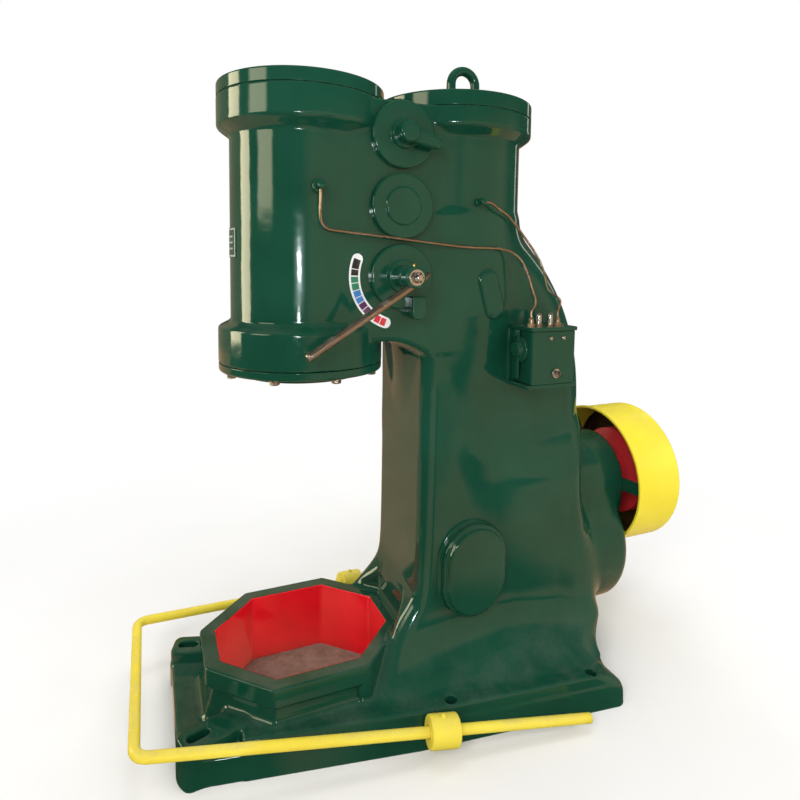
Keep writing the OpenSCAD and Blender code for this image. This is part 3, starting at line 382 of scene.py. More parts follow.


# The guard's yellow sheet, with painted shade inside behind the pulley.
YELLOW_SHEET = paint("yellow_enamel_sheet", (0.86, 0.70, 0.03), (0.92, 0.78, 0.06), dust=0.2, wear=0.3,
                     rough=0.2, waves=1.4, chip=(0.2, 0.15, 0.05), lining_and_shade=guard_painted_shade)
RED_PAINT = paint("red_enamel", (0.86, 0.03, 0.045), (0.92, 0.05, 0.06), dust=0.3, wear=0.3, rough=0.2,
                  waves=0.5, chip=(0.06, 0.03, 0.02))
STEEL = metal("worked_steel", (0.34, 0.29, 0.24), (0.46, 0.41, 0.35), (0.10, 0.055, 0.03), (60, 60, 420),
              stain=0.45, stain_scale=24, rough=0.30)
BRIGHT = metal("bright_steel", (0.62, 0.62, 0.62), (0.75, 0.75, 0.75), (0.2, 0.17, 0.14), (200, 200, 200),
               stain=0.25, stain_scale=90, rough=0.16)
COPPER = metal("copper_tube", (0.52, 0.38, 0.28), (0.64, 0.48, 0.36), (0.20, 0.12, 0.07), (90, 90, 90),
               stain=0.5, stain_scale=60, rough=0.30)
BRASS = metal("turned_brass", (0.62, 0.44, 0.18), (0.72, 0.55, 0.28), (0.22, 0.14, 0.06), (300, 300, 900),
              stain=0.35, stain_scale=110, rough=0.22)
IRON = metal("dark_iron", (0.055, 0.045, 0.035), (0.10, 0.08, 0.065), (0.09, 0.04, 0.02), (120, 120, 120),
             stain=0.6, stain_scale=70, rough=0.5)


# ---- Surfaces ----
def soft(corners, radii, closed=False, count=5):
    """A path with rounded corners. Each corner becomes an arc of its radius that touches both legs; the
    arc's points are its centre plus the radius times a normal that turns evenly from leg to leg. Gives
    the points and the unit normals to the right of the way along."""
    corners = np.asarray(corners, float)
    radii = np.broadcast_to(np.asarray(radii, float), len(corners))
    ahead = np.roll(corners, -1, 0) - corners
    ahead /= np.maximum(np.linalg.norm(ahead, axis=1), 1e-9)[:, None]
    points, normals = [], []
    for i in range(len(corners)):
        if not closed and i in (0, len(corners) - 1):
            d = ahead[i] if i == 0 else ahead[i - 1]
            points.append(corners[i][None])
            normals.append(np.array([[d[1], -d[0]]]))
            continue
        a, b = ahead[i - 1], ahead[i]
        turn = math.atan2(a[0] * b[1] - a[1] * b[0], a @ b)
        side = 1 if turn > 0 else -1
        radius = max(radii[i], 1e-5)
        start = math.atan2(-a[0], a[1])
        angles = start + turn * np.linspace(0, 1, count + 1)
        arc = np.stack([np.cos(angles), np.sin(angles)], 1)
        touch = corners[i] - a * radius * math.tan(abs(turn) / 2)
        centre = touch - side * radius * np.array([a[1], -a[0]])
        points.append(centre + side * radius * arc)
        normals.append(arc)
    return np.concatenate(points), np.concatenate(normals)


def quads(rows, columns, wrap_rows, wrap_columns):
    """Faces of a grid of rows by columns, turned so that a row of a rising outline faces outwards."""
    i = np.arange(rows if wrap_rows else rows - 1)[:, None]
    j = np.arange(columns if wrap_columns else columns - 1)[None, :]
    i2, j2 = (i + 1) % rows, (j + 1) % columns
    corners = i * columns + j, i * columns + j2, i2 * columns + j2, i2 * columns + j
    return np.stack(corners, -1).reshape(-1, 4)


AXIS_R = 0.001


class Shell:
    """A mesh in arrays: points, unit normals, faces with four corners and flat many-sided caps."""

    def __init__(self, points, normals, faces, caps=()):
        self.points, self.normals, self.faces, self.caps = points, normals, faces, list(caps)

    def placed(self, origin, x=(1, 0, 0), y=(0, 1, 0), z=(0, 0, 1)):
        """The shell carried from its own axes to x, y, z at the origin."""
        turn = np.stack([np.asarray(v, float) for v in (x, y, z)])
        flip = np.linalg.det(turn) < 0
        faces = self.faces[:, ::-1] if flip else self.faces
        caps = [cap[::-1] for cap in self.caps] if flip else self.caps
        return Shell(self.points @ turn + np.asarray(origin, float), self.normals @ turn, faces, caps)


def joined(shells):
    """Several shells as one."""
    start = np.cumsum([0] + [len(s.points) for s in shells])
    return Shell(np.concatenate([s.points for s in shells]), np.concatenate([s.normals for s in shells]),
                 np.concatenate([s.faces + n for s, n in zip(shells, start)]),
                 [cap + n for s, n in zip(shells, start) for cap in s.caps])


def carried(outline, profile, loop=False):
    """A profile carried along a closed outline: point(u, v) = outline(u) + out(v) * normal(u) at height(v).
    The ends of an open profile are closed by flat caps."""
    (ring, ring_n), (path, path_n) = outline, profile
    m, n = len(path), len(ring)
    flat = ring[None] + path[:, :1, None] * ring_n[None]
    points = np.concatenate([flat, np.broadcast_to(path[:, 1, None, None], (m, n, 1))], -1)
    out = path_n[:, :1, None] * ring_n[None]
    normals = np.concatenate([out, np.broadcast_to(path_n[:, 1, None, None], (m, n, 1))], -1)
    caps = [] if loop else [np.arange(n)[::-1], np.arange(n) + (m - 1) * n]
    return Shell(points.reshape(-1, 3), normals.reshape(-1, 3), quads(m, n, loop, True), caps)


def spokes(angles):
    """Unit vectors at the angles."""
    return np.stack([np.cos(angles), np.sin(angles)], -1)


def turned(path, radii, count=72, loop=False, steps_=5):
    """A turned piece: the rounded path of (radius, height) spun about the height axis."""
    ring = spokes(np.linspace(0, 2 * np.pi, count, endpoint=False))
    return carried((ring * 0, ring), soft(path, radii, loop, steps_), loop)


def stub(z0, z1, radius, low, high, count=32, dome=0.0, steps_=5):
    """A turned stub from height z0 to z1. Its lower and upper edges are rounded by low and high, and its
    top rises by dome towards the axis."""
    path = [[AXIS_R, z0], [radius, z0], [radius, z1], [AXIS_R, z1 + dome]]
    return turned(path, [0, low, high, 0], count, steps_=steps_)


def obround(half_w, half_h, count=24):
    """Outline of a slot shape that stands up: two half circles of half_w, joined by straight sides."""
    arc = spokes(np.linspace(0, np.pi, count))
    up, lift = arc * half_w, np.array([0, half_h - half_w])
    return np.concatenate([up + lift, -up - lift]), np.concatenate([arc, -arc])


def rectangle(x0, x1, y0, y1, radius, count=5):
    """Outline of a rectangle with rounded corners."""
    return soft([[x0, y0], [x1, y0], [x1, y1], [x0, y1]], radius, True, count)


def polygon(sides, radius, round_=0.0008):
    """Outline of a regular polygon whose corners lie at the radius."""
    return soft(spokes(2 * np.pi * np.arange(sides) / sides) * radius, round_, True, 3)


def block(lo, hi, radius=0.004, upright=None):
    """A box with rounded edges: a rectangle with rounded corners, its edges rounded again over the height."""
    lo, hi = np.asarray(lo, float), np.asarray(hi, float)
    wall = max(upright or radius, radius + 0.0003)
    outline = rectangle(lo[0], hi[0], lo[1], hi[1], wall)
    bend = radius * 0.98
    path = soft([[-radius, lo[2]], [0, lo[2]], [0, hi[2]], [-radius, hi[2]]], [0, bend, bend, 0])
    return carried(outline, path)


def smooth_route(route, spacing):
    """A Catmull-Rom curve through the points: each stretch is the cubic whose ends keep the slope between
    the neighbours on both sides."""
    p = np.asarray(route, float)
    p = np.concatenate([[2 * p[0] - p[1]], p, [2 * p[-1] - p[-2]]])
    runs = []
    for i in range(1, len(p) - 2):
        n = max(2, int(np.linalg.norm(p[i + 1] - p[i]) / spacing))
        t = np.linspace(0, 1, n, endpoint=False)[:, None]
        a, b, c, d = p[i - 1:i + 3]
        square, cube = 2 * a - 5 * b + 4 * c - d, 3 * b - a - 3 * c + d
        runs.append(0.5 * (2 * b + (c - a) * t + square * t**2 + cube * t**3))
    runs.append(p[-2][None])
    return np.concatenate(runs)


def swept(route, radius, sides=16, end=0.4):
    """A round bar along a route: point(u, v) = route(v) + radius(v) * (cos u * across + sin u * over). The
    radius shrinks over the last stretch at both ends as the cosine of a quarter turn."""
    route = np.asarray(route, float)
    length = np.concatenate([[0], np.cumsum(np.linalg.norm(np.diff(route, axis=0), axis=1))])
    radius = np.broadcast_to(np.asarray(radius, float), len(route)).copy()
    lead = end * radius[0], end * radius[-1]
    quarter = np.linspace(0, 0.5 * np.pi, 6)[:-1]
    inset = 1 - np.cos(quarter)
    s = np.concatenate([lead[0] * inset,
                        length[(length > lead[0] * 1.2) & (length < length[-1] - lead[1] * 1.2)],
                        length[-1] - lead[1] * inset[::-1]])
    shrink = np.ones(len(s))
    least = 1 - end
    rising = least + (1 - least) * np.sin(quarter)
    shrink[:5], shrink[-5:] = rising, rising[::-1]
    at = np.stack([np.interp(s, length, route[:, k]) for k in range(3)], 1)
    r = np.interp(s, length, radius) * shrink
    along = np.gradient(at, axis=0)
    along /= np.linalg.norm(along, axis=1)[:, None]
    across = np.cross(along, np.array([0.31, 0.83, 0.46]))
    across /= np.linalg.norm(across, axis=1)[:, None]
    over = np.cross(along, across)
    a = np.linspace(0, 2 * np.pi, sides, endpoint=False)
    spoke = np.cos(a)[None, :, None] * across[:, None] + np.sin(a)[None, :, None] * over[:, None]
    slope = np.gradient(r, s)[:, None, None]
    normals = spoke - along[:, None] * slope
    normals /= np.linalg.norm(normals, axis=-1)[..., None]
    points = at[:, None] + r[:, None, None] * spoke
    caps = [np.arange(sides)[::-1], np.arange(sides) + (len(s) - 1) * sides]
    return Shell(points.reshape(-1, 3), normals.reshape(-1, 3), quads(len(s), sides, False, True), caps)


def piece(name, shell, material, body="frame", replaces=(), edge=None):
    """Makes the object of a shell, hangs it under the empty of the body it rides on and hides the imported
    parts it stands for.
    """
    counts = np.concatenate([np.full(len(shell.faces), 4), [len(cap) for cap in shell.caps]]).astype(int)
    corners = np.concatenate([shell.faces.ravel(), *shell.caps]).astype(np.int32)
    mesh = bpy.data.meshes.new(name)
    mesh.vertices.add(len(shell.points))
    mesh.vertices.foreach_set("co", shell.points.astype(np.float32).ravel())
    mesh.loops.add(len(corners))
    mesh.loops.foreach_set("vertex_index", corners)
    mesh.polygons.add(len(counts))
    mesh.polygons.foreach_set("loop_start", (np.cumsum(counts) - counts).astype(np.int32))
    mesh.update(calc_edges=True)
    mesh.polygons.foreach_set("use_smooth", np.ones(len(counts), bool))
    if edge is not None:
        mesh.attributes.new("edge", "FLOAT", "POINT").data.foreach_set("value", edge.astype(np.float32))
    mesh.normals_split_custom_set_from_vertices(shell.normals)
    mesh.materials.append(material)
    made = put(name, mesh)
    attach(made, body)
    if replaces:
        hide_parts(*replaces)


def green(name, shell, *replaces, body="frame"):
    """A piece in the plain green enamel."""
    piece(name, shell, ENAMEL_PLAIN, body, replaces)


NEAR = dict(x=(1, 0, 0), y=(0, 0, 1), z=(0, -1, 0))
FAR = dict(x=(-1, 0, 0), y=(0, 0, 1), z=(0, 1, 0))
REARWARD = dict(x=(0, 1, 0), y=(0, 0, 1), z=(1, 0, 0))


# ---- Cast frame as one field of distances ----
def both(a, b, r):
    """What two solids share, with the edge rounded: where both distances come within r of the edge they
    add up as the legs of a right triangle."""
    u, v = a + r, b + r
    return np.minimum(np.maximum(u, v), 0) + np.hypot(np.maximum(u, 0), np.maximum(v, 0)) - r


def either(a, b, r):
    """Two solids together, with a fillet of radius r in the corner between them."""
    return -both(-a, -b, r)


def between(t, lo, hi):
    """Distance outside a slab from lo to hi."""
    return np.maximum(lo - t, t - hi)


def ease(t):
    """Rises from 0 to 1 as 3 t squared less 2 t cubed."""
    t = np.clip(t, 0, 1)
    return t * t * (3 - 2 * t)


def mix(a, b, t):
    """From a to b by t."""
    return a + (b - a) * t


def table(places, values, blur):
    """Values against places, straight between the given points and then blurred by a bell curve."""
    step = 0.001
    fine = np.arange(places[0] - 0.2, places[-1] + 0.2, step)
    bell = np.exp(-0.5 * (np.arange(-60, 61) * step / blur)**2)
    run = np.interp(fine, places, values)
    padded = np.concatenate([np.full(60, run[0]), run, np.full(60, run[-1])])
    return fine, np.convolve(padded, bell / bell.sum(), "valid")


def read(lookup, at):
    """Value of a table at the places."""
    return np.interp(at, *lookup)


def steepness(lookup):
    """Length of the table's slope against its own axis, to turn a difference into a distance."""
    return lookup[0], np.hypot(1, np.gradient(lookup[1], lookup[0]))


LOWER_RING_H = 0.024
RIM_W = 0.047
BOSS_R, BOSS_ROOT_X, LOW_R, LOW_DROP = 0.168, 0.85, 0.238, 0.224
ARCH_R, ARCH_X, ARCH_Z = 0.220, 0.202, 0.941
RAM_PROFILE = table([LOWER_FLANGE_Z, LOWER_FLANGE_Z + 0.132, LOWER_FLANGE_Z + 0.150, RAM_JOINT_Z - 0.111,
                     RAM_JOINT_Z - 0.085, RAM_JOINT_Z], [RAM_FLANGE_R, RAM_FLANGE_R, RAM_R, RAM_R,
                                                          RAM_FLANGE_R, RAM_FLANGE_R], 0.0035)
REAR_PROFILE = table([0.90, 1.00, 1.06, 1.12, 1.18, 1.24, REAR_JOINT_Z - 0.081, REAR_JOINT_Z - 0.055,
                      REAR_JOINT_Z],
                     [0.150, 0.173, 0.186, 0.200, 0.211, REAR_R, REAR_R, REAR_FLANGE_R,
                      REAR_FLANGE_R], 0.0035)
RIM_PROFILE = table([0, 0.078, 0.092, 0.112, 0.138, 0.159, 0.166, 0.222],
                    [0.053, 0.053, 0.047, 0.038, 0.0305, 0.028, 0.047, 0.047], 0.003)
COLUMN_TOP_Z, SHOULDER_Z, BEND_Z, HOUSING_Z, HEEL_Z, FOOT_Z = 1.118, 1.540, 0.690, 1.000, 0.200, 0.325
COLUMN_X, COLUMN_W, HOUSING_W = 0.333, 0.190, 0.252
FOOT_X, FOOT_W, HEEL_W = 0.145, 0.268, 0.368
HOUSING_X = span("column_casting")[1][0]
HEEL_X = 0.928
BEND_IN = 0.070


def rear_outline():
    """Rear face of column and shoulder: a cubic Bezier down to the bend, then eased runs to the heel."""
    t = np.linspace(0, 1, 80)[:, None]
    p = np.array([[REAR_X + REAR_R - 0.011, SHOULDER_Z], [REAR_X + REAR_R + 0.013, SHOULDER_Z - 0.1],
                  [HOUSING_X + 0.060, SHOULDER_Z - 0.21], [HOUSING_X - BEND_IN, BEND_Z]])
    curve = (1 - t)**3 * p[0] + 3 * (1 - t)**2 * t * p[1] + 3 * (1 - t) * t * t * p[2] + t**3 * p[3]
    z = np.linspace(PLATE_H, BEND_Z, 60)[:-1]
    x = np.where(z < HEEL_Z, mix(HEEL_X, HOUSING_X, ease((z - PLATE_H) / (HEEL_Z - PLATE_H))),
                 mix(HOUSING_X, HOUSING_X - BEND_IN, ease((z - HEEL_Z) / (BEND_Z - HEEL_Z))))
    return table(np.concatenate([z, curve[::-1, 1]]), np.concatenate([x, curve[::-1, 0]]), 0.008)


def front_outline():
    """Front face of column and foot: upright, and under the foot's top a run that curves out."""
    z = np.linspace(0.0, 1.7, 300)
    under = 1 - (z - PLATE_H) / (FOOT_Z - PLATE_H)
    out = (0.5 * (under + np.sqrt(under * under + 0.02)))**0.85
    return table(z, COLUMN_X - (COLUMN_X - FOOT_X) * out, 0.004)


REAR_LINE, FRONT_LINE = rear_outline(), front_outline()
SPREAD = 0.16


def column(x, ay, z):
    """Column, crank housing and shoulder. The front, rear and side faces are sheets over the height; the
    housing's side starts at a crease that slants to the rear, and the corners are rounded."""
    foot = np.clip(1 - (z - PLATE_H) / (FOOT_Z - PLATE_H), 0, 1)**2.2
    front = (read(FRONT_LINE, z) - x) / read(steepness(FRONT_LINE), z)
    rear = (x - read(REAR_LINE, z)) / read(steepness(REAR_LINE), z)
    wide = ease((HOUSING_Z - z) / 0.33)
    crease = COLUMN_X + np.maximum(0.068, 0.085 + (HOUSING_Z - z) * 0.318)
    wall = mix(COLUMN_W, CHEST_W, ease((z - 0.88) / 0.22))
    side = mix(wall, FOOT_W, foot)
    flare = side + foot * SPREAD * np.clip(x - read(FRONT_LINE, z), 0, None)
    flare = np.minimum(flare, mix(wall, HEEL_W, foot))
    full = mix(mix(wall - 0.03, HOUSING_W, wide), HEEL_W, foot)
    slant = side + foot * SPREAD * (crease - read(FRONT_LINE, z)) + (full - side) * (x - crease) / 0.165
    bulge = both((ay - slant) / 1.06, ay - full, 0.07)
    flank = either(ay - flare, bulge, 0.016)
    corner = mix(0.070, 0.186, ease((z - BEND_Z) / (SHOULDER_Z - BEND_Z)))
    body = both(both(flank, front, 0.045), rear, corner)
    return both(body, between(z, 0.06, SHOULDER_Z), 0.006)


def octagon(x, ay, out=0.0):
    """Distance from the pit's eight-sided outline grown by out, with slightly rounded corners."""
    straight = both(np.abs(x) - PIT_HALF[0] - out, ay - PIT_HALF[1] - out, 0.004)
    return both(straight, (np.abs(x) + ay - PIT_DIAGONAL) * math.sqrt(0.5) - out, 0.006)


LUG_AT, LUG_ANGLE, LUG_HALF, LUG_TOP = (-0.334, 0.206), math.radians(17), 0.044, 0.115
SLOT_HALF_L, SLOT_R = 0.017, 0.014
HOLES, HOLE_R = ((0.365, 0.340), (0.832, 0.400)), 0.017
PLATE_X, PLATE_HALF_W = (-0.390, 0.266, 0.950), (0.242, 0.363, 0.448)
LEDGE_H, LEDGE_X, TAIL_X = 0.072, -0.225, 0.872


def base(x, ay, z):
    """Base plate with its low front ledge and the two slotted lugs."""
    wide = np.interp(x, PLATE_X, PLATE_HALF_W) - 0.008 * np.clip(z, 0, PLATE_H) / PLATE_H
    plan = both((ay - wide) * 0.985, between(x, PLATE_X[0] + 0.002, PLATE_X[2] - 0.004), 0.036)
    low = both(plan, z - LEDGE_H, 0.008)
    high = both(both(plan, LEDGE_X - x, 0.01), z - PLATE_H, 0.009)
    tail = (x - TAIL_X) * 0.5 + (z - PLATE_H) * 0.866
    high, low = both(high, tail, 0.03), both(low, tail, 0.03)
    along, aside = x - LUG_AT[0], ay - LUG_AT[1]
    u = along * math.cos(LUG_ANGLE) - aside * math.sin(LUG_ANGLE)
    v = along * math.sin(LUG_ANGLE) + aside * math.cos(LUG_ANGLE)
    lug = both(both(both(np.abs(v) - LUG_HALF, -0.050 - u, 0.022), u - 0.13, 0.01), z - LUG_TOP, 0.007)
    solid = either(either(low, high, 0.010), lug, 0.012)
    slot = np.hypot(u - np.clip(u, -SLOT_HALF_L, SLOT_HALF_L), v) - SLOT_R
    holes = np.minimum(*(np.hypot(x - at_x, ay - at_y) for at_x, at_y in HOLES)) - HOLE_R
    return both(both(solid, -slot, 0.004), -holes, 0.004)


def drive_boss(x, y, z):
    """Bearing boss and the round lower housing under it, both standing out of the rear wall."""
    hub = both(np.hypot(y, z - SHAFT_Z) - BOSS_R, between(x, BOSS_ROOT_X, BOSS_END_X), 0.010)
    low = both(np.hypot(y, z - SHAFT_Z + LOW_DROP) - LOW_R,
               between(x, BOSS_ROOT_X, BOSS_END_X - 0.019), 0.042)
    return either(hub, low, 0.045)


def casting(x, y, z):
    """The whole cast frame: negative inside, zero on the skin."""
    ay = np.abs(y)
    ram = (np.hypot(x, y) - read(RAM_PROFILE, z)) / read(steepness(RAM_PROFILE), z)
    ram = both(ram, between(z, LOWER_FLANGE_Z + LOWER_RING_H + 0.0008, RAM_JOINT_Z), 0.004)
    rear = (np.hypot(x - REAR_X, y) - read(REAR_PROFILE, z)) / read(steepness(REAR_PROFILE), z)
    rear = both(rear, between(z, 0.90, REAR_JOINT_Z), 0.004)
    taper = 0.035 * ease((COLUMN_TOP_Z + 0.03 - z) / 0.20)
    chest = both(ay - CHEST_W + taper, between(z, 0.94, REAR_JOINT_Z), 0.008)
    chest = both(chest, between(x, 0, REAR_X), 0.008)
    arch = ARCH_R - np.hypot(x - ARCH_X, z - ARCH_Z)
    below = both(z - COLUMN_TOP_Z + 0.002, COLUMN_X - x, 0.001)
    chest = both(both(chest, arch, 0.016), -below, 0.004)
    stem = column(x, ay, z)
    stem = both(stem, -both(octagon(x, ay, RIM_W), z - 0.345, 0.03), 0.02)
    upper = either(either(chest, ram, 0.005), either(rear, stem, 0.035), 0.010)
    upper = either(upper, drive_boss(x, y, z), 0.040)
    foot = base(x, ay, z)
    wall = both(octagon(x, ay, read(RIM_PROFILE, z)), z - PIT_TOP_Z, 0.005)
    heel = both(both(octagon(x, ay, RIM_W), z - PIT_TOP_Z, 0.005), 0.105 - x, 0.02)
    foot = either(foot, np.minimum(wall, heel), 0.016)
    whole = either(foot, upper, 0.022)
    return both(whole, -both(octagon(x, ay), z - PIT_TOP_Z - 0.1, 0.01), 0.004)


EDGE_REACH = 0.009


def surface_net(field, lo, hi, cell, grounded=False):
    """Skin of a field between two heights: one point in each cell that the skin crosses, at the mean of its
    edges' crossings, and one four-sided face round each crossed edge. The points are then moved along the
    field's slope onto the skin, evened out among their neighbours and moved back onto it. The lowest and
    highest rows of cells are centred on the two heights and their points stay there, so that the pieces
    above and below meet. On the ground the skin is closed by a flat face. Also gives each point's edge
    value: above 0.5 where the skin bends outwards, below 0.5 in hollows."""
    n = np.array([int(math.ceil((hi[k] - lo[k]) / cell)) + 1 for k in range(3)])
    rise = (hi[2] - lo[2]) / n[2]
    n[2] += 2
    axes = [lo[0] + cell * np.arange(n[0]), lo[1] + cell * np.arange(n[1]),
            lo[2] + rise * (np.arange(n[2]) - 0.5)]
    values = np.empty(n, np.float32)
    for first in range(0, n[2], 16):
        z = axes[2][first:first + 16]
        values[:, :, first:first + 16] = field(axes[0][:, None, None], axes[1][None, :, None],
                                               z[None, None, :])
    if grounded:
        values[:, :, 0] = cell
    inside = values < 0
    corners = [(a, b, c) for a in (0, 1) for b in (0, 1) for c in (0, 1)]
    cells = n - 1
    total = sum(inside[a:a + cells[0], b:b + cells[1], c:c + cells[2]].astype(np.int8)
                for a, b, c in corners)
    active = np.argwhere((total > 0) & (total < 8))
    number = np.full(cells, -1, np.int64)
    number[tuple(active.T)] = np.arange(len(active))
    level = {k: values[tuple((active + k).T)] for k in corners}
    place, weight = np.zeros((len(active), 3)), np.zeros(len(active))
    for k in corners:
        for axis in (axis for axis in range(3) if not k[axis]):
            a, b = level[k], level[tuple(1 if i == axis else k[i] for i in range(3))]
            crossed = (a < 0) != (b < 0)
            t = np.where(crossed, a / np.where(crossed, a - b, 1), 0)
            place += (np.array(k) + t[:, None] * (np.arange(3) == axis)) * crossed[:, None]
            weight += crossed
    start = np.array([axis[0] for axis in axes])
    points = start + (active + place / weight[:, None]) * (cell, cell, rise)
    faces = []
    for axis in range(3):
        b, c = (axis + 1) % 3, (axis + 2) % 3
        first, second = ([slice(1, -1)] * 3 for _ in range(2))
        first[axis], second[axis] = slice(0, -1), slice(1, None)
        leaving, entering = inside[tuple(first)], inside[tuple(second)]
        for outward in (True, False):
            at = np.argwhere((leaving == outward) & (entering != outward))
            at[:, [b, c]] += 1
            ring = []
            for db, dc in ((-1, -1), (0, -1), (0, 0), (-1, 0)):
                cell_at = at.copy()
                cell_at[:, b] += db
                cell_at[:, c] += dc
                ring.append(number[tuple(cell_at.T)])
            faces.append(np.stack(ring if outward else ring[::-1], 1))
    faces = np.concatenate(faces)
    low, high = active[:, 2] == 0, active[:, 2] == cells[2] - 1
    upper = sum((level[k] < 0).astype(int) for k in corners if k[2])
    flat = low & (upper == 4) & grounded

    def slope(p, reach=0.0012):
        """Slope of the field by differences."""
        steps_ = np.eye(3) * reach
        return np.stack([(field(*(p + d).T) - field(*(p - d).T)) / (2 * reach) for d in steps_], 1)

    def settle(p, rounds):
        """Newton steps onto the skin, each at most half a cell long. The end rows keep their height."""
        for _ in range(rounds):
            g = slope(p)
            g[low | high, 2] = 0
            d = (field(*p.T) / np.maximum((g * g).sum(1), 0.05))[:, None] * g
            d[flat] = 0
            size = np.linalg.norm(d, axis=1)[:, None]
            p = p - d * np.minimum(1, 0.5 * cell / np.maximum(size, 1e-9))
        return p

    points[low, 2], points[high, 2] = lo[2], hi[2]
    points = settle(points, 2)
    pairs = np.concatenate([faces[:, [k, (k + 1) % 4]] for k in range(4)])
    count = np.maximum(np.bincount(pairs[:, 0], minlength=len(points)), 1)
    for _ in range(3):
        mean = np.stack([np.bincount(pairs[:, 0], points[pairs[:, 1], k], len(points)) for k in range(3)], 1)
        mean = mean / count[:, None]
        mean[low, 2], mean[high, 2] = lo[2], hi[2]
        points = settle(mix(points, mean, 0.5), 1)
    points = settle(points, 1)
    normals = slope(points)
    normals[flat] = (0, 0, -1)
    normals /= np.maximum(np.linalg.norm(normals, axis=1), 1e-9)[:, None]
    reach = EDGE_REACH
    across = [np.cross(normals, d) for d in ((0.3, 0.5, 0.8), (0.8, -0.3, 0.5))]
    bend = sum(field(*(points + reach * d).T) + field(*(points - reach * d).T) for d in across) / reach
    return Shell(points, normals, faces), np.clip(0.5 + 1.2 * bend, 0, 1)


CASTING_CUTS = (0, 0.25, 1.04)
CASTING_LO, CASTING_HI = (-0.40, -0.465), (1.225, 0.465)


def make_casting():
    """The cast skin in three pieces, one above the other, which meet at fixed heights."""
    parts = (("cast_base", 0.0058, ("base_casting",)),
             ("cast_column", 0.0066, ("column_casting", "bearing_housing")),
             ("cast_cylinders", 0.0066, ("cylinder_block",)))
    for (name, cell, nodes), low, high in zip(parts, CASTING_CUTS, CASTING_CUTS[1:] + (RAM_JOINT_Z + 0.012,)):
        shell, edge = surface_net(casting, (*CASTING_LO, low), (*CASTING_HI, high),
                                  cell * (1), low == 0)
        piece(name, shell, ENAMEL, replaces=nodes, edge=edge)


# ---- Covers, bolts and small parts ----
def disc(radius, thick, edge=0.006, count=128, under=0.002):
    """A flat turned cover with rounded edges, from height 0 to thick."""
    return stub(0, thick, radius, under, edge, count)


def hex_bolt(size, height, washer=True):
    """A hexagon head with a chamfered top on a washer, from height 0 up."""
    parts = []
    rise = 0.0
    if washer:
        rise = size * 0.16
        parts.append(stub(0, rise, size * 1.35, 0.0005, 0.0006, steps_=2))
    path = soft([[-0.0012, rise], [0, rise], [0, rise + height * 0.8], [-size * 0.12, rise + height],
                 [-size * 0.3, rise + height]], [0, 0.0005, 0.0008, 0.0008, 0], count=2)
    parts.append(carried(polygon(6, size), path))
    return joined(parts)


def ring_of(shell, count, radius, z, centre_x=0, start=0.0, up=1):
    """Copies of a shell round a circle, upright, or hanging where up is -1."""
    made = []
    for a in start + 2 * np.pi * np.arange(count) / count:
        c, s = math.cos(a), math.sin(a)
        at = (centre_x + radius * c, radius * s, z)
        made.append(shell.placed(at, (c, s, 0), (-s * up, c * up, 0), (0, 0, up)))
    return joined(made)


def make_covers():
    """Cylinder covers, their bolts, the ring under the ram cylinder and its nuts."""
    for name, node, radius, x, z in (("ram_cover", "front_cylinder_cover", RAM_FLANGE_R, 0, RAM_JOINT_Z),
                                     ("compressor_cover", "rear_cylinder_cover", REAR_FLANGE_R, REAR_X,
                                      REAR_JOINT_Z)):
        green(name, disc(radius - 0.0004, TOP_Z - z).placed((x, 0, z)), node)
    bolt = hex_bolt(0.017, 0.014)
    green("cover_bolts", joined([ring_of(bolt, 8, radius - 0.095, TOP_Z, x, math.radians(22.5))
                                 for radius, x in ((RAM_FLANGE_R, 0), (REAR_FLANGE_R, REAR_X))]))
    valley = hex_bolt(0.020, 0.018).placed((VALVE_X + 0.004, -0.10, REAR_JOINT_Z))
    piece("chest_bolt", valley, IRON)
    low, inner, outer = LOWER_FLANGE_Z, 0.150, RAM_FLANGE_R - 0.0006
    ring = turned([[inner, low], [outer, low], [outer, low + LOWER_RING_H], [inner, low + LOWER_RING_H]],
                  [0.001, 0.007, 0.002, 0.001], 128, True)
    green("ram_lower_ring", ring)
    nuts = ring_of(hex_bolt(0.014, 0.012), 8, RAM_FLANGE_R - 0.026, low, start=math.radians(12), up=-1)
    piece("ring_nuts", nuts, STEEL)


def make_valves():
    """Six valve covers: discs with raised bosses."""
    for side, place in (("", NEAR), ("far_", FAR)):
        for k, label in enumerate(("upper", "middle", "lower")):
            node = f"far_{label}_cover" if side else f"{label}_valve_cover"
            lo, hi = span(node)
            thick, boss = 0.018, hi[1] - lo[1]
            boss_r = (0.039, 0.052, 0.046)[k] if not side else (0.040, 0.052, 0.040)[k]
            path = [[AXIS_R, 0], [VALVE_R, 0], [VALVE_R, thick], [boss_r + 0.004, thick - 0.0012],
                    [boss_r, boss], [AXIS_R, boss]]
            shell = turned(path, [0, 0.002, 0.006, 0.003, 0.004, 0], 96)
            at = ((lo[0] + hi[0]) / 2, lo[1] if side else hi[1], (lo[2] + hi[2]) / 2)
            green(f"{side}{label}_valve_disc", shell.placed(at, **place), node)


HANDLE_AXIS = middle("upper_valve_cover")
HANDLE_Y = span("upper_valve_cover")[0][1] - 0.0005
PIN = stub(-0.03, 0.001, 0.0165, 0.001, 0.0005, 48)


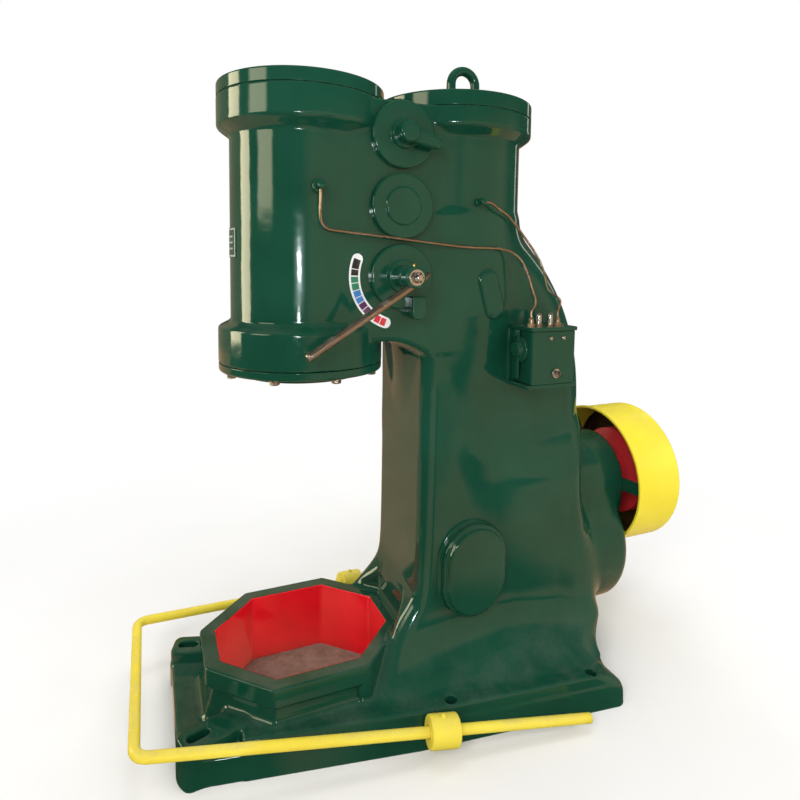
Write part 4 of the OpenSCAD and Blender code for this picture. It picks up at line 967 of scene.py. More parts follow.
def make_upper_handle():
    """Boss and tapering handle: the outline is the hull of a large and a small circle."""
    angle, length, big, small = math.radians(-15), 0.092, 0.026, 0.017
    tip = length * np.array([math.cos(angle), math.sin(angle)])
    lean = math.asin((big - small) / length)
    a = np.linspace(angle + math.pi / 2 - lean, angle + 1.5 * math.pi + lean, 30)
    b = np.linspace(angle - math.pi / 2 + lean, angle + math.pi / 2 - lean, 22)
    n = np.concatenate([spokes(a), spokes(b)])
    ring = n * np.concatenate([np.full(30, big), np.full(22, small)])[:, None]
    ring[30:] += tip
    path = soft([[-0.0095, 0.002], [0, 0.002], [0, 0.026], [-0.0095, 0.026]], [0, 0.007, 0.009, 0], count=6)
    arm = carried((ring, n), path)
    boss = stub(0, 0.036, 0.029, 0.002, 0.008, 64)
    shell = joined([arm, boss, PIN]).placed((HANDLE_AXIS[0], HANDLE_Y, HANDLE_AXIS[2]), **NEAR)
    green("upper_handle_arm", shell, "upper_valve_handle", body="upper_handle")


LEVER_Y, LEVER_ANGLE, LEVER_DROP, LEVER_REACH = -0.290, math.radians(32.5), 0.018, 0.360
HUB_FACE_Y = -0.310


def lever_point(along, over=0.0, y=LEVER_Y):
    """A place in the lever's own axes: along the rod towards its tail, and over it."""
    c, s = math.cos(LEVER_ANGLE), math.sin(LEVER_ANGLE)
    over -= LEVER_DROP
    return np.array([VALVE_X + along * c - over * s, y, VALVE_Z[2] + along * s + over * c])


def make_lever():
    """Hub, rod with a pointed tail, the clamp nut and the short peg on the hub."""
    hub_y = span("lower_valve_cover")[0][1] - 0.0005
    depth = hub_y - HUB_FACE_Y
    hub = turned([[AXIS_R, 0], [0.034, 0], [0.034, depth * 0.45], [0.031, depth * 0.5], [0.031, depth],
                  [AXIS_R, depth]], [0, 0.002, 0.004, 0.004, 0.006, 0], 72)
    green("lever_hub_body", joined([hub, PIN]).placed((VALVE_X, hub_y, VALVE_Z[2]), **NEAR), "lever_hub",
          body="hand_control")
    along = np.concatenate([[-LEVER_REACH - 0.010], np.linspace(-LEVER_REACH, 0.028, 40),
                            [0.036, 0.044, 0.0515]])
    radius = np.concatenate([[0.0118], np.full(40, 0.012), [0.0095, 0.0062, 0.003]])
    rod = swept(np.stack([lever_point(s) for s in along]), radius, 28, 0.35)
    piece("lever_rod", rod, STEEL, "hand_control", ("hand_lever",))
    nut = joined([hex_bolt(0.017, 0.012), stub(0.012, 0.025, 0.009, 0.001, 0.002)])
    piece("lever_clamp_nut", nut.placed((VALVE_X, HUB_FACE_Y, VALVE_Z[2]), **NEAR), BRIGHT,
          "hand_control", ("lever_nut",))
    ends = [lever_point(along, over, -0.296) for along, over in ((0.012, 0.014), (0.020, 0.052))]
    peg = swept(ends, 0.0062, 20)
    piece("lever_peg", peg, BRASS, "hand_control")


def make_stop():
    """Stop lug under the lower valve: a half circle below, and straight sides up to a square top."""
    lo, hi = span("lever_stop")
    r = (hi[0] - lo[0]) / 2
    corners = soft([[r, r * 0.2], [r, hi[2] - lo[2] - r], [-r, hi[2] - lo[2] - r], [-r, r * 0.2]],
                   [0.001, 0.006, 0.006, 0.001], True, 3)
    below = spokes(-np.linspace(0, np.pi, 16)[::-1])
    ring = np.concatenate([corners[0][4:12], below * r])
    n = np.concatenate([corners[1][4:12], below])
    depth = hi[1] - lo[1]
    path = soft([[-0.006, 0], [0, 0], [0, depth], [-0.006, depth]], [0, 0.001, 0.0055, 0], count=5)
    shell = carried((ring, n), path).placed(((lo[0] + hi[0]) / 2, hi[1], lo[2] + r), **NEAR)
    green("lever_stop_lug", shell, "lever_stop")


def make_side_covers():
    """Stepped crank covers on both sides and the tilted oblong boss on the compressor cylinder."""
    for node, name, place in (("crankcase_cover_near", "crank_cover_near", NEAR),
                              ("crankcase_cover_far", "crank_cover_far", FAR)):
        lo, hi = span(node)
        half_w, half_h = (hi[0] - lo[0]) / 2, (hi[2] - lo[2]) / 2
        root = lo[1] if place is FAR else hi[1]
        reach = hi[1] - lo[1]
        path = soft([[0.013, -0.001], [0, -0.001], [0, reach - 0.013], [-0.011, reach - 0.011],
                     [-0.015, reach], [-0.060, reach]], [0, 0.012, 0.008, 0.004, 0.008, 0], count=6)
        shell = carried(obround(half_w, half_h, 40), path)
        green(name, shell.placed(((lo[0] + hi[0]) / 2, root, (lo[2] + hi[2]) / 2), **place), node)
    lo, hi = span("oblong_cover")
    tilt = math.radians(16)
    path = soft([[0, 0], [0, 0.052], [-0.015, 0.0555], [-0.030, 0.0555]], [0, 0.012, 0.01, 0], count=6)
    shell = carried(obround(0.036, 0.080, 24), path)
    x, y = (math.cos(tilt), 0, math.sin(tilt)), (-math.sin(tilt), 0, math.cos(tilt))
    at = ((lo[0] + hi[0]) / 2, lo[1] + 0.0555, (lo[2] + hi[2]) / 2)
    green("oblong_boss", shell.placed(at, x, y, (0, -1, 0)), "oblong_cover")


def make_lifting_eye():
    """Eye ring with straight legs, a rounded band carried round its opening, on a foot plate; the plug."""
    lo, hi = span("lifting_eye")
    x = (lo[0] + hi[0]) / 2
    outer, half_w, half_t, bar_r = 0.0598, 0.045, 0.017, 0.0148
    z = hi[2] - outer
    legs = np.linspace(lo[2] - z, -0.01, 5)
    ring = np.concatenate([np.stack([np.full(5, half_w), legs], 1),
                           spokes(np.linspace(0, np.pi, 40)) * half_w,
                           np.stack([np.full(5, -half_w), legs[::-1]], 1)])
    route = np.stack([x + ring[:, 0], np.zeros(len(ring)), z + ring[:, 1]], 1)
    bar = swept(route, bar_r, 24, 0.05)
    bar.points[:, 1] *= half_t / bar_r
    foot = block((x - 0.072, -0.034, lo[2]), (x + 0.072, 0.034, lo[2] + 0.014), 0.003, 0.008)
    web = block((x - 0.056, -0.0145, lo[2] + 0.008), (x + 0.056, 0.0145, lo[2] + 0.034), 0.005)
    green("lifting_loop", joined([bar, foot, web]), "lifting_eye")
    lo, hi = span("vent_plug")
    height = hi[2] - lo[2]
    plug = joined([hex_bolt(0.024, 0.014, False),
                   turned([[AXIS_R, 0.01], [0.015, 0.01], [0.015, 0.042], [0.020, 0.046],
                           [0.020, height - 0.004], [AXIS_R, height]],
                            [0, 0.002, 0.003, 0.004, 0.006, 0], 48)])
    piece("vent_cap", plug.placed(((lo[0] + hi[0]) / 2, 0, lo[2])), IRON,
          replaces=("vent_plug",))


def make_lubricator():
    """Lubricator box with its lid, bracket, ratchet, screws, plug and two domed fittings."""
    lo, hi = span("lubricator_bracket")
    box_lo, box_hi = span("lubricator_body")
    lid_lo, lid_hi = span("lubricator_lid")
    box_x = lid_lo[0] + 0.005
    green("lubricator_box", block((box_x, box_lo[1], box_lo[2]), box_hi, 0.004, 0.007), "lubricator_body")
    green("lubricator_cover", block(lid_lo, lid_hi, 0.0025, 0.008), "lubricator_lid")
    shelf = joined([block((lo[0], box_lo[1], lo[2]), (hi[0], box_hi[1] + 0.004, lo[2] + 0.012), 0.003, 0.01),
                    block((lo[0], box_hi[1], lo[2]), (hi[0], hi[1], hi[2]), 0.003, 0.006)])
    green("lubricator_shelf", shelf, "lubricator_bracket")
    mid_y = (box_lo[1] + box_hi[1]) / 2
    ratchet_z = box_lo[2] + 0.106
    leftward = dict(x=(0, -1, 0), y=(0, 0, 1), z=(-1, 0, 0))
    drum = turned([[AXIS_R, 0], [0.040, 0], [0.040, 0.010], [0.026, 0.014], [0.022, 0.026], [AXIS_R, 0.026]],
                  [0, 0.001, 0.003, 0.002, 0.003, 0], 48)
    arm = block((box_x - 0.020, mid_y - 0.009, ratchet_z - 0.09),
                (box_x - 0.010, mid_y + 0.009, ratchet_z + 0.062), 0.002, 0.0045)
    joint = stub(0.018, 0.026, 0.011, 0.001, 0.003, 24)
    joint = joint.placed((box_x - 0.001, mid_y, ratchet_z + 0.050), **leftward)
    green("lubricator_ratchet", joined([drum.placed((box_x, mid_y, ratchet_z), **leftward), arm, joint]))
    screw = stub(0, 0.0028, 0.0062, 0.0004, 0.0016, 24, 0.002)
    screws = [screw.placed((box_x + dx, box_lo[1], lid_hi[2] - 0.034), **NEAR) for dx in (0.070, 0.118)]
    piece("lubricator_screws", joined(screws), BRIGHT)
    lo, hi = span("drain_plug")
    head = soft([[-0.004, 0.003], [0, 0.003], [0, 0.013], [-0.002, 0.016], [-0.006, 0.016]],
                [0, 0.0004, 0.0008, 0.0008, 0], count=2)
    plug = joined([stub(0, 0.004, 0.015, 0.001, 0.0015, 40), carried(polygon(6, 0.011, 0.001), head)])
    piece("drain_screw", plug.placed(((lo[0] + hi[0]) / 2, hi[1], (lo[2] + hi[2]) / 2), **NEAR), BRIGHT,
          replaces=("drain_plug",))
    lo, hi = span("lubricator_fittings")
    height = hi[2] - lo[2]
    head = soft([[-0.004, 0], [0, 0], [0, 0.008], [-0.004, 0.008]], [0, 0.0006, 0.0008, 0], count=2)
    fit = joined([carried(polygon(6, 0.0135, 0.001), head),
                  turned([[AXIS_R, 0.007], [0.0085, 0.007], [0.0085, 0.018], [0.006, height],
                          [AXIS_R, height]],
                         [0, 0.001, 0.004, 0.002, 0], 40)])
    place = [fit.placed((x, (lo[1] + hi[1]) / 2, lo[2])) for x in union_places()]
    piece("oil_unions", joined(place), COPPER, replaces=("lubricator_fittings",))
    seat = stub(0, 0.006, 0.0125, 0.001, 0.002)
    glass = stub(0.005, 0.038, 0.0098, 0.001, 0.0095, dome=0.003)
    at = [(x, (lo[1] + hi[1]) / 2, lid_hi[2]) for x in (lid_lo[0] + 0.066, lid_lo[0] + 0.109)]
    piece("dome_seats", joined([seat.placed(p) for p in at]), COPPER)
    piece("sight_domes", joined([glass.placed(p) for p in at]), BRIGHT)


def union_places():
    """Where along x the two pipes end on the lubricator's lid."""
    lo, hi = span("lubricator_fittings")
    return lo[0] - 0.007, hi[0] + 0.006


def oil_routes():
    """Routes of the two copper pipes, from the inlets round the cylinders to the lubricator's unions."""
    top = span("lubricator_lid")[1][2]
    run = VALVE_Z[1] - 0.092
    unions = span("lubricator_fittings")
    mid_y = (unions[0][1] + unions[1][1]) / 2
    ends = union_places()
    seat = unions[1][2] - 0.010
    chest = -(CHEST_W + 0.018 + 0.0043)

    def round_rear(angle, out, share):
        a, r = np.radians(angle), REAR_R + out
        return [REAR_X + r * math.sin(a), -r * math.cos(a), mix(top, run, share)]

    inlet = middle("oil_inlet_front")
    x, z, y = inlet[0], inlet[2], -(RAM_R + 0.026)
    front = [[x, y, z - 0.002], [x, y, z - 0.037], [x + 0.001, -RAM_R - 0.019, z - 0.077],
             [x + 0.008, -RAM_R - 0.013, z - 0.101], [x + 0.030, chest - 0.001, run + 0.018]]
    front += [[mix(0.070, REAR_X - 0.090, i / 5), chest - (0.001 if i == 5 else 0),
               run + 0.013 - 0.032 * i / 5]
              for i in range(6)]
    front += [[REAR_X - 0.040, -REAR_R - 0.0043, run - 0.022]]
    front += [round_rear(*p) for p in ((2.5, .0055, .915), (14, .0155, .905), (22.1, .0328, .863),
                                       (27.1, .0499, .775), (29.8, .0638, .634), (32.1, .0754, .458),
                                       (33.9, .0864, .282))]
    front += [[ends[0], mid_y, top + 0.045], [ends[0], mid_y, seat]]
    x, z, y = middle("oil_inlet_rear")[0], middle("oil_inlet_rear")[2], -(REAR_R + 0.022)
    back = [[x + 0.004, y, z], [x + 0.030, y, z - 0.002]]
    back += [round_rear(*p) for p in ((9, .021, 1.366), (18, .0177, 1.31), (27.4, .0168, 1.232),
                                      (35.8, .0244, 1.134), (41.3, .0416, 1.014), (44.4, .0637, .88),
                                      (45.5, .0835, .739), (45.3, .099, .581), (44, .1118, .423))]
    back += [[ends[1], mid_y - 0.008, top + 0.080], [ends[1], mid_y, top + 0.048], [ends[1], mid_y, seat]]
    return front, back


def make_pipes():
    """Copper pipes and their inlet fittings."""
    for name, route, node in zip(("copper_pipe_front", "copper_pipe_rear"), oil_routes(),
                                 ("oil_pipe_front", "oil_pipe_rear")):
        piece(name, swept(smooth_route(route, 0.006), 0.0039, 14, 0.3), COPPER, replaces=(node,))
    fittings = (("front_oil_inlet", "oil_inlet_front", (stub(0, 0.016, 0.020, 0.001, 0.006, 40, 0.002),
                                                        stub(0.01, 0.042, 0.0115, 0.001, 0.005, dome=0.002))),
                ("rear_oil_inlet", "oil_inlet_rear", (stub(0, 0.012, 0.0135, 0.001, 0.003),
                                                      stub(0.01, 0.036, 0.0105, 0.001, 0.004, dome=0.002))))
    for name, node, stubs in fittings:
        lo, hi = span(node)
        green(name, joined(stubs).placed(((lo[0] + hi[0]) / 2, hi[1], (lo[2] + hi[2]) / 2), **NEAR), node)


# ---- Scale and name plate ----
SCALE_INNER, SCALE_W = 0.126, 0.033
SCALE_START, SCALE_END = 153.5, 257.5
SCALE_CAP = math.degrees(SCALE_W / 2 / (SCALE_INNER + SCALE_W / 2))


def scale_material():
    """Printed scale: a white border and coloured segments by the angle about the lever's axis."""
    material, add, output = start_material("scale_print")
    where, x, _, z = coordinates(add)
    dx, dz = less(add, x, float(VALVE_X)), less(add, z, float(VALVE_Z[2]))
    angle = modulo(add, angle_of(add, dz, dx), 2 * math.pi)
    along = steps(add, angle, math.radians(SCALE_START), math.radians(SCALE_END))
    ramp = add("ValToRGB", {0: along}, out=None)
    bar = ramp.color_ramp
    bar.interpolation = "CONSTANT"
    white, black, green = (0.80, 0.82, 0.80, 1), (0.015, 0.015, 0.015, 1), (0.02, 0.20, 0.10, 1)
    blue, violet, red = (0.04, 0.20, 0.52, 1), (0.10, 0.02, 0.09, 1), (0.62, 0.02, 0.04, 1)
    fields = [(160, 171, black), (172, 179, black), (180, 187, green), (188, 195.5, green),
              (196.5, 203.5, blue), (204.5, 211, blue), (212, 219, violet), (220, 228, violet),
              (229, 235, red), (236, 243, red), (244, 251, red)]
    spots = [(0.0, white)]
    for first, last, colour in fields:
        spots += [((first - SCALE_START) / (SCALE_END - SCALE_START), colour),
                  ((last - SCALE_START) / (SCALE_END - SCALE_START), white)]
    bar.elements[0].position, bar.elements[0].color = spots[0]
    bar.elements[1].position, bar.elements[1].color = spots[1]
    for position, colour in spots[2:]:
        bar.elements.new(position).color = colour
    away = absolute(add, less(add, hypotenuse(add, dx, dz), SCALE_INNER + SCALE_W / 2))
    border = steps(add, away, SCALE_W / 2 - 0.0060, SCALE_W / 2 - 0.0054)
    colour = blend_colour(add, border, ramp.outputs[0], white)
    grime = steps(add, noise(add, where, 40, 5, 0.6), 0.5, 0.8, 0, 0.25)
    colour = blend_colour(add, grime, colour, (0.25, 0.24, 0.2, 1))
    rough = steps(add, noise(add, where, 60, 3), 0.3, 0.7, 0.25, 0.42)
    normal = add("Bump", {"Height": noise(add, where, 300, 2), "Distance": 0.0001, "Strength": 0.5})
    shader(add, output, {"Base Color": colour, "Roughness": rough, "Normal": normal})
    return material


def plate_material(lo, hi):
    """Plain enamelled plate: a pale frame round a dark green field with pale blank bars."""
    material, add, output = start_material("plate_print")
    where, _, y, z = coordinates(add)
    high = steps(add, z, float(lo[2]), float(hi[2]))
    wide = ratio(add, absolute(add, y), float(hi[1]))
    edge_z = absolute(add, less(add, high, 0.5))
    frame_z = times(add, steps(add, edge_z, 0.415, 0.42), steps(add, edge_z, 0.475, 0.47))
    frame_y = times(add, steps(add, wide, 0.86, 0.87), steps(add, wide, 0.95, 0.94))
    within = times(add, steps(add, edge_z, 0.476, 0.475), steps(add, wide, 0.952, 0.951))
    lines = times(add, most(add, frame_z, frame_y), within)
    row = absolute(add, less(add, fraction(add, times(add, high, 5.0)), 0.5))
    bars = times(add, steps(add, row, 0.14, 0.13), steps(add, wide, 0.62, 0.61))
    bars = times(add, bars, steps(add, edge_z, 0.36, 0.35))
    worn = steps(add, noise(add, where, 60, 5, 0.6), 0.35, 0.65, 0.55, 1.0)
    pale = times(add, most(add, lines, bars), worn)
    colour = blend_colour(add, pale, (0.012, 0.06, 0.04, 1), (0.62, 0.64, 0.60, 1))
    rough = steps(add, noise(add, where, 80, 3), 0.3, 0.7, 0.2, 0.35)
    normal = add("Bump", {"Height": noise(add, where, 200, 2), "Distance": 0.0001, "Strength": 0.4})
    shader(add, output, {"Base Color": colour, "Roughness": rough, "Normal": normal})
    return material


def make_plates():
    """The lever's scale, a rounded band on the chest's face, and the bare plate on the ram cylinder."""
    lo, hi = span("scale_plate")
    half = SCALE_W / 2
    mid = SCALE_INNER + half
    a0, a1 = math.radians(SCALE_START + SCALE_CAP), math.radians(SCALE_END - SCALE_CAP)
    spoke = spokes(np.linspace(a0, a1, 48))

    def cap(angle, start):
        """Points and normals of the half circle that closes one end of the band."""
        n = spokes(start + np.linspace(0, np.pi, 12)[1:-1])
        return mid * spokes(angle) + half * n, n

    first, second = cap(a1, a1), cap(a0, a0 + math.pi)
    ring = np.concatenate([spoke * (mid + half), first[0], spoke[::-1] * (mid - half), second[0]])
    n = np.concatenate([spoke, first[1], -spoke[::-1], second[1]])
    path = soft([[-0.001, 0], [0, 0], [0, 0.002], [-0.001, 0.002]], [0, 0.0003, 0.0006, 0], count=2)
    shell = carried((ring, n), path).placed((VALVE_X, hi[1], VALVE_Z[2]), **NEAR)
    piece("scale_band", shell, scale_material(), replaces=("scale_plate",))
    lo, hi = span("name_plate")
    r, rows, columns = RAM_R + 0.002, 4, 28
    wide = math.asin(hi[1] / r)
    out = spokes(np.linspace(math.pi - wide, math.pi + wide, columns))
    z = np.array([lo[2], lo[2] + 0.003, hi[2] - 0.003, hi[2]])
    face = np.concatenate([np.broadcast_to((out * r)[None], (rows, columns, 2)),
                           np.broadcast_to(z[:, None, None], (rows, columns, 1))], -1)
    back = face.copy()
    back[..., :2] *= (RAM_R - 0.001) / r
    n = np.concatenate([np.broadcast_to(out[None], (rows, columns, 2)), np.zeros((rows, columns, 1))], -1)
    points = np.concatenate([face.reshape(-1, 3), back.reshape(-1, 3)])
    sheet, behind = quads(rows, columns, False, False), rows * columns
    last = (rows - 1) * columns
    edge = np.concatenate([np.arange(columns), np.arange(1, rows) * columns + columns - 1,
                           last + np.arange(columns - 1)[::-1], np.arange(1, rows - 1)[::-1] * columns])
    following = np.roll(edge, -1)
    rim = np.stack([edge + behind, following + behind, following, edge], 1)
    shell = Shell(points, np.concatenate([n.reshape(-1, 3)] * 2),
                  np.concatenate([sheet, sheet[:, ::-1] + behind, rim]))
    piece("maker_plate_blank", shell, plate_material(lo, hi), replaces=("name_plate",))


# ---- Drive and treadle ----
def make_drive():
    """Bearing cap with a ring of small screws."""
    lo, hi = span("bearing_cap")
    r, t = (hi[1] - lo[1]) / 2, hi[0] - lo[0]
    cap = turned([[0.0415, 0], [r, 0], [r, t], [0.060, t], [0.056, t - 0.004], [0.0415, t - 0.004]],
                 [0.0005, 0.001, 0.003, 0.002, 0.002, 0.001], 96, True, 3)
    screw = hex_bolt(0.009, 0.005, False)
    screws = [screw.placed((*(r * 0.8 * spokes(math.radians(30 + 60 * k))), t)) for k in range(6)]
    green("bearing_cover", joined([cap] + screws).placed((lo[0], 0, SHAFT_Z), **REARWARD), "bearing_cap")


SLOT_TOP, SLOT_BOTTOM = 0.180, 0.030


def make_guard():
    """Belt guard: a dish of sheet spun about the shaft, point(u, v) = r(v) * (cos u, sin u) at x(v). The
    faces between two rows and two columns are left out of both its walls, and the edges of the slot so
    opened are joined by four strips."""
    lo, hi = GUARD
    depth, thick, bead, across = hi[0] - lo[0], 0.004, 0.005, 12
    r = (hi[1] - lo[1]) / 2 - bead
    path, out = soft([[AXIS_R, depth - thick], [r - thick, depth - thick], [r - thick, 0], [r + bead, 0],
                      [r + bead, bead], [r, bead], [r, depth], [AXIS_R, depth]],
                     [0, 0.004, 0.002, 0.002, 0.002, 0.002, 0.009, 0], count=4)
    pulley = span("drive_pulley")
    x0, x1 = pulley[0][0] - 0.004 - lo[0], pulley[1][0] + 0.004 - lo[0]

    def opened(wall, first, second, side):
        """Row at which the slot's two edges are put into the path on one wall."""
        low, high = np.minimum(path[:-1, 1], path[1:, 1]), np.maximum(path[:-1, 1], path[1:, 1])
        row = np.flatnonzero((np.abs(path[:-1, 0] - wall) < 1e-5) & (low < x0) & (high > x1))[0] + 1
        return (row, np.insert(path, row, [[wall, first], [wall, second]], 0),
                np.insert(out, row, [[side, 0]] * 2, 0))

    k, path, out = opened(r - thick, x1, x0, -1)
    i, path, out = opened(r, x0, x1, 1)
    a0, a1 = -math.asin(SLOT_TOP / r), -math.asin(SLOT_BOTTOM / r)
    rest = np.linspace(a1, a0 + 2 * math.pi, 100)[1:-1]
    spoke = spokes(np.concatenate([np.linspace(a0, a1, across + 1), rest]))
    shell = carried((spoke * 0, spoke), (path, out))
    n = len(spoke)
    keep = np.ones(len(shell.faces), bool)
    for row in (i, k):
        keep[row * n:row * n + across] = False
    j = np.arange(across)
    strips = [np.stack([i * n + j, i * n + j + 1, (k + 1) * n + j + 1, (k + 1) * n + j], 1),
              np.stack([(i + 1) * n + j + 1, (i + 1) * n + j, k * n + j, k * n + j + 1], 1),
              [[row * n + across for row in (i, i + 1, k, k + 1)]],
              [[(i + 1) * n, i * n, (k + 1) * n, k * n]]]
    shell.faces = np.concatenate([shell.faces[keep], *strips])
    piece("guard_drum", shell.placed((lo[0], 0, SHAFT_Z), **REARWARD), YELLOW_SHEET,
          replaces=("belt_guard",))


TREADLE_CORNER, TREADLE_PIVOT = np.array([-0.490, -0.297, 0.175]), np.array([0.300, -0.417, 0.090])
TREADLE_BAR_R, TREADLE_BEND, TREADLE_TAIL = 0.0146, 0.036, 0.470


def make_treadle():
    """The treadle's bent bar and its two collars with grease nipples. The bar's corners are parabolas."""
    corner, mirror = TREADLE_CORNER, np.array([1, -1, 1])
    run = unit(TREADLE_PIVOT - corner)
    end = TREADLE_PIVOT + run * TREADLE_TAIL
    t = np.linspace(0, 1, 9)[:, None]
    into, leave = corner + run * TREADLE_BEND, corner + np.array([0, TREADLE_BEND, 0])
    arc = (1 - t)**2 * into + 2 * t * (1 - t) * corner + t**2 * leave
    lead = into + (end - into) * np.linspace(1, 0, 26)[:-1, None]
    near = np.concatenate([lead, arc])
    far = near[::-1] * mirror
    cross = near[-1] + (far[0] - near[-1]) * np.linspace(0, 1, 20)[1:-1, None]
    bar = swept(np.concatenate([near, cross, far]), TREADLE_BAR_R, 28, 0.3)
    piece("treadle_bar", bar, YELLOW, "treadle", ("treadle_frame",))
    ring = turned([[0.0162, -0.042], [0.043, -0.042], [0.043, 0.042], [0.0162, 0.042]],
                  [0.001, 0.005, 0.005, 0.001], 72, True)
    nipple = turned([[AXIS_R, 0.038], [0.0075, 0.038], [0.0075, 0.046], [0.004, 0.048], [0.004, 0.051],
                     [AXIS_R, 0.0525]], [0, 0.001, 0.001, 0.001, 0.002, 0], 24, steps_=2)
    for label, flip in (("near", 1), ("far", mirror)):
        at, z = TREADLE_PIVOT * flip, run * flip
        x = unit(np.array([0, 0, 1.0]) - z * z[2])
        collar = joined([ring.placed(at, x, np.cross(z, x), z), nipple.placed(at)])
        piece(f"collar_{label}", collar, YELLOW, "treadle", (f"treadle_collar_{label}",))


def dress_nodes():
    """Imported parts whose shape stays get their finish."""
    finish = {"ram": STEEL, "ram_guide": ENAMEL_PLAIN, "drive_shaft": STEEL, "drive_pulley": RED_PAINT,
              "guard_straps": ENAMEL_PLAIN, "pivot_pin_near": STEEL, "pivot_pin_far": STEEL}
    for node, material in finish.items():
        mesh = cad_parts[node].data
        for k in range(len(mesh.materials)):
            mesh.materials[k] = material


# ---- Stage ----
WHITE = (1, 1, 1, 1)
SEEN_RAYS = ("Is Glossy Ray", "Is Transmission Ray")


def seen(add):
    """1 for the rays of the camera, of mirrors and of glass, else 0."""
    path = add("LightPath", out=None)
    share = path.outputs["Is Camera Ray"]
    for ray in SEEN_RAYS:
        share = most(add, share, path.outputs[ray])
    return share


def flat_piece(name, points, faces, material):
    """A mesh of the stage from points and faces."""
    mesh = bpy.data.meshes.new(name)
    mesh.from_pydata(points, [], faces)
    mesh.materials.append(material)
    return put(name, mesh)


def round_plane(radius, z, count):
    """Points and the one face of a level disc."""
    ring = radius * spokes(np.linspace(0, 2 * np.pi, count, endpoint=False))
    return [[x, y, z] for x, y in ring.tolist()], [list(range(count))]


def floor_material():
    """Pale floor that keeps the shadow near the object and runs into the background further out. The ground
    that shows inside the pit is earth."""
    material, add, output = start_material("studio_floor")
    where, x, y, _ = coordinates(add)
    far = hypotenuse(add, less(add, x, 0.4), y)
    cloud = steps(add, noise(add, where, 1.7, 4), 0.3, 0.7)
    colour = blend_colour(add, cloud, (0.84, 0.83, 0.81, 1), (0.88, 0.87, 0.85, 1))
    x, y = absolute(add, x), absolute(add, y)
    pit = most(add, less(add, x, PIT_HALF[0]), less(add, y, PIT_HALF[1]))
    pit = most(add, pit, less(add, plus(add, x, y), PIT_DIAGONAL))
    clods = steps(add, noise(add, where, 22, 6, 0.7), 0.3, 0.7)
    earth = blend_colour(add, clods, (0.20, 0.14, 0.10, 1), (0.36, 0.27, 0.21, 1))
    colour = blend_colour(add, steps(add, pit, 0.02, 0.0), colour, earth)
    matt = add("BsdfDiffuse", {"Color": colour, "Roughness": 0.6})
    glow = add("Emission", {"Color": WHITE, "Strength": 1.0})
    share = times(add, steps(add, far, 0.9, 2.6), seen(add))
    output.id_data.links.new(add("MixShader", {0: share, 1: matt, 2: glow}), output.inputs[0])
    return material


# Name, place, aim, width, height and power of each lamp.
LAMPS = [("key", (-2.2, -2.9, 3.0), (0.1, 0, 1.1), 1.5, 1.5, 66),
         ("fill", (3.0, -2.6, 2.2), (0.6, 0, 0.9), 1.2, 2.0, 34),
         ("top", (0.4, 0.3, 4.2), (0.4, 0, 1.0), 2.2, 2.2, 40),
         ("back", (1.2, 3.4, 2.6), (0.4, 0, 1.0), 1.6, 1.6, 34)]
SKY_LIGHT = 0.74
FLOOR_R = 14


def make_stage():
    """Floor, sky, lamps and the dark screens that only polished paint mirrors."""
    floor = flat_piece("studio_floor", *round_plane(FLOOR_R, 0, 64), floor_material())
    world = bpy.data.worlds.new("studio_sky")
    world.use_nodes = True
    bpy.context.scene.world = world
    tree = world.node_tree
    tree.nodes.clear()
    add = graph(tree)
    sky = add("Background", {"Color": WHITE, "Strength": blend_value(add, seen(add), SKY_LIGHT, 1.0)})
    tree.links.new(sky, tree.nodes.new("ShaderNodeOutputWorld").inputs[0])
    for name, at, aim, width, height, power in LAMPS:
        data = bpy.data.lights.new(name, "AREA")
        data.shape, data.size, data.size_y, data.energy = "RECTANGLE", width, height, power
        lamp = put(name, data)
        back = unit(np.array(at, float) - np.array(aim, float))
        side = unit(np.cross([0, 0, 1], back))
        aimed(lamp, side, np.cross(back, side), back, at)
        lamp.visible_glossy = False
    make_screens()


# Each card: first and last angle, lowest and highest height, blur in degrees, colour and strength.
CARDS = [(96, 147, -0.3, 0.6, 5, (0.72, 0.42, 0.24), 1.0), (96, 147, 0.6, 3.4, 5, (0.36, 0.31, 0.20), 1.0),
         (149, 170, 0.62, 3.4, 1.5, (1.0, 0.90, 0.60), 9), (187, 211, 1.80, 3.3, 4, (1.0, 0.93, 0.63), 5),
         (264, 345, -0.3, 2.6, 18, (0.62, 0.42, 0.25), 1.0), (35, 92, 2.0, 4.6, 14, (0.62, 0.34, 0.18), 1.0),
         (14, 17, 1.7, 3.2, 2, (1.0, 0.97, 0.85), 2.4), (247, 258, 1.00, 1.66, 8, (0.85, 0.95, 1.0), 5),
         (250.5, 254.5, 1.24, 1.48, 3, (0.90, 0.96, 1.0), 130),
         (251, 254, 0.83, 0.90, 2, (0.90, 0.96, 1.0), 110)]
# Each darker sector of the ground: first and last angle, blur in degrees and colour.
GROUND = [(180, 250, 14, (0.06, 0.05, 0.035)), (291, 303, 6, (0.06, 0.05, 0.035))]
WALL_R, WALL_SIDES, WALL_Z, GROUND_Z, CEILING_Z = 4, 96, (-0.3, 4.6), 0.003, 4.58


def mirrored_only(name, points, faces, light):
    """A piece of the stage that only polished surfaces see. light(add, where, x, y, z) gives its glow."""
    material, add, output = start_material(name)
    glow = add("Emission", {"Color": light(add, *coordinates(add)), "Strength": 1.0})
    output.id_data.links.new(glow, output.inputs[0])
    thing = flat_piece(name, points, faces, material)
    thing.visible_camera = thing.visible_diffuse = thing.visible_shadow = False
    thing.visible_transmission = thing.visible_volume_scatter = False


def bearing(add, x, y):
    """Angle of a place about the middle, from 0 to a full turn."""
    return modulo(add, angle_of(add, y, x), 2 * math.pi)


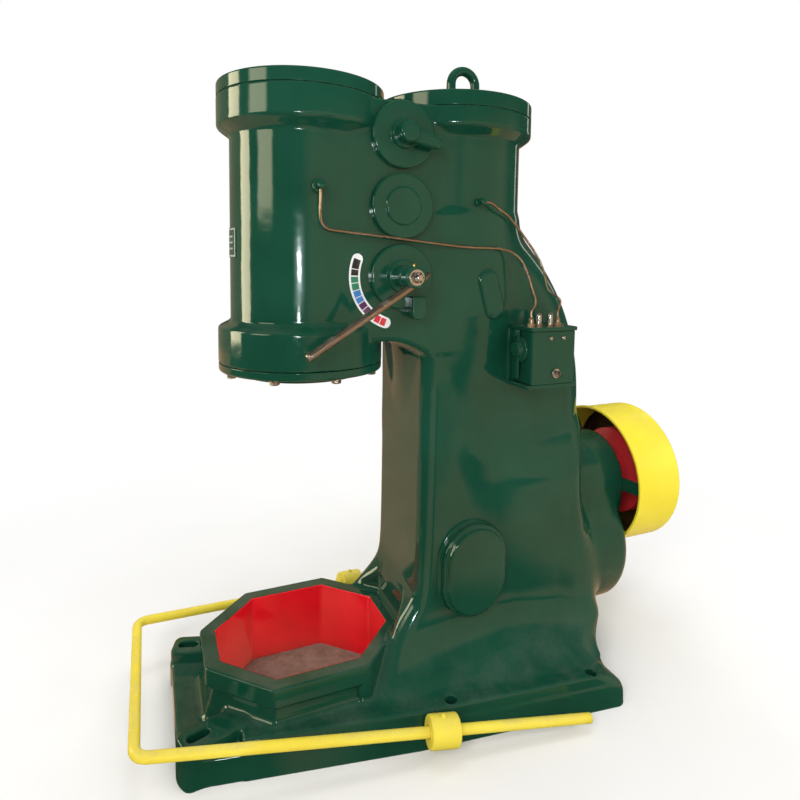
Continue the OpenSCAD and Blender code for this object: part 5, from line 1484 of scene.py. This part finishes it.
def wall_light(add, where, x, y, z):
    """A dark wall with cards. Each card is a field of light between two angles and two heights: its share
    is the product of its four soft edges."""
    angle = bearing(add, x, y)
    light = blend_colour(add, noise(add, where, 1.5, 3), (0.03, 0.032, 0.028, 1), (0.11, 0.10, 0.08, 1))
    for first, last, low, high, blur, tint, power in CARDS:
        across = window(add, angle, *map(math.radians, (first, last, blur)))
        share = times(add, across, window(add, z, low, high, 0.06 + 0.024 * blur))
        light = blend_colour(add, share, light, (*[power * c for c in tint], 1))
    return light


def ground_light(add, where, x, y, z):
    """Brown away from the base, but for the sectors of GROUND."""
    angle = bearing(add, x, y)
    far = hypotenuse(add, less(add, x, 0.6), plus(add, y, 0.25))
    cloud = steps(add, noise(add, where, 2.2, 4, 0.6), 0.3, 0.7)
    brown = blend_colour(add, cloud, (0.58, 0.37, 0.22, 1), (0.76, 0.47, 0.28, 1))
    for first, last, blur, tint in GROUND:
        share = window(add, angle, *map(math.radians, (first, last, blur)))
        brown = blend_colour(add, share, brown, (*tint, 1))
    return blend_colour(add, steps(add, far, 0.5, 0.75), (0.08, 0.05, 0.03, 1), brown)


def ceiling_light(add, where, x, y, z):
    """A dim cloudy ceiling."""
    return blend_colour(add, noise(add, where, 0.5, 3), (0.07, 0.07, 0.06, 1), (0.24, 0.24, 0.21, 1))


def make_screens():
    """A ring wall, a ground and a ceiling that only polished surfaces mirror."""
    points = sum((round_plane(WALL_R, z, WALL_SIDES)[0] for z in WALL_Z), [])
    following = [(k + 1) % WALL_SIDES for k in range(WALL_SIDES)]
    sides = [[k, after, WALL_SIDES + after, WALL_SIDES + k] for k, after in enumerate(following)]
    mirrored_only("studio_screens", points, sides, wall_light)
    for name, z, light in (("studio_ground", GROUND_Z, ground_light),
                           ("studio_ceiling", CEILING_Z, ceiling_light)):
        mirrored_only(name, *round_plane(WALL_R * 0.995, z, WALL_SIDES), light)


make_camera()
make_casting()
make_covers()
make_valves()
make_upper_handle()
make_lever()
make_stop()
make_side_covers()
make_lifting_eye()
make_lubricator()
make_pipes()
make_plates()
make_drive()
make_guard()
make_treadle()
dress_nodes()
make_stage()

scene = bpy.context.scene
scene.view_settings.view_transform = "Standard"
bpy.context.view_layer.update()
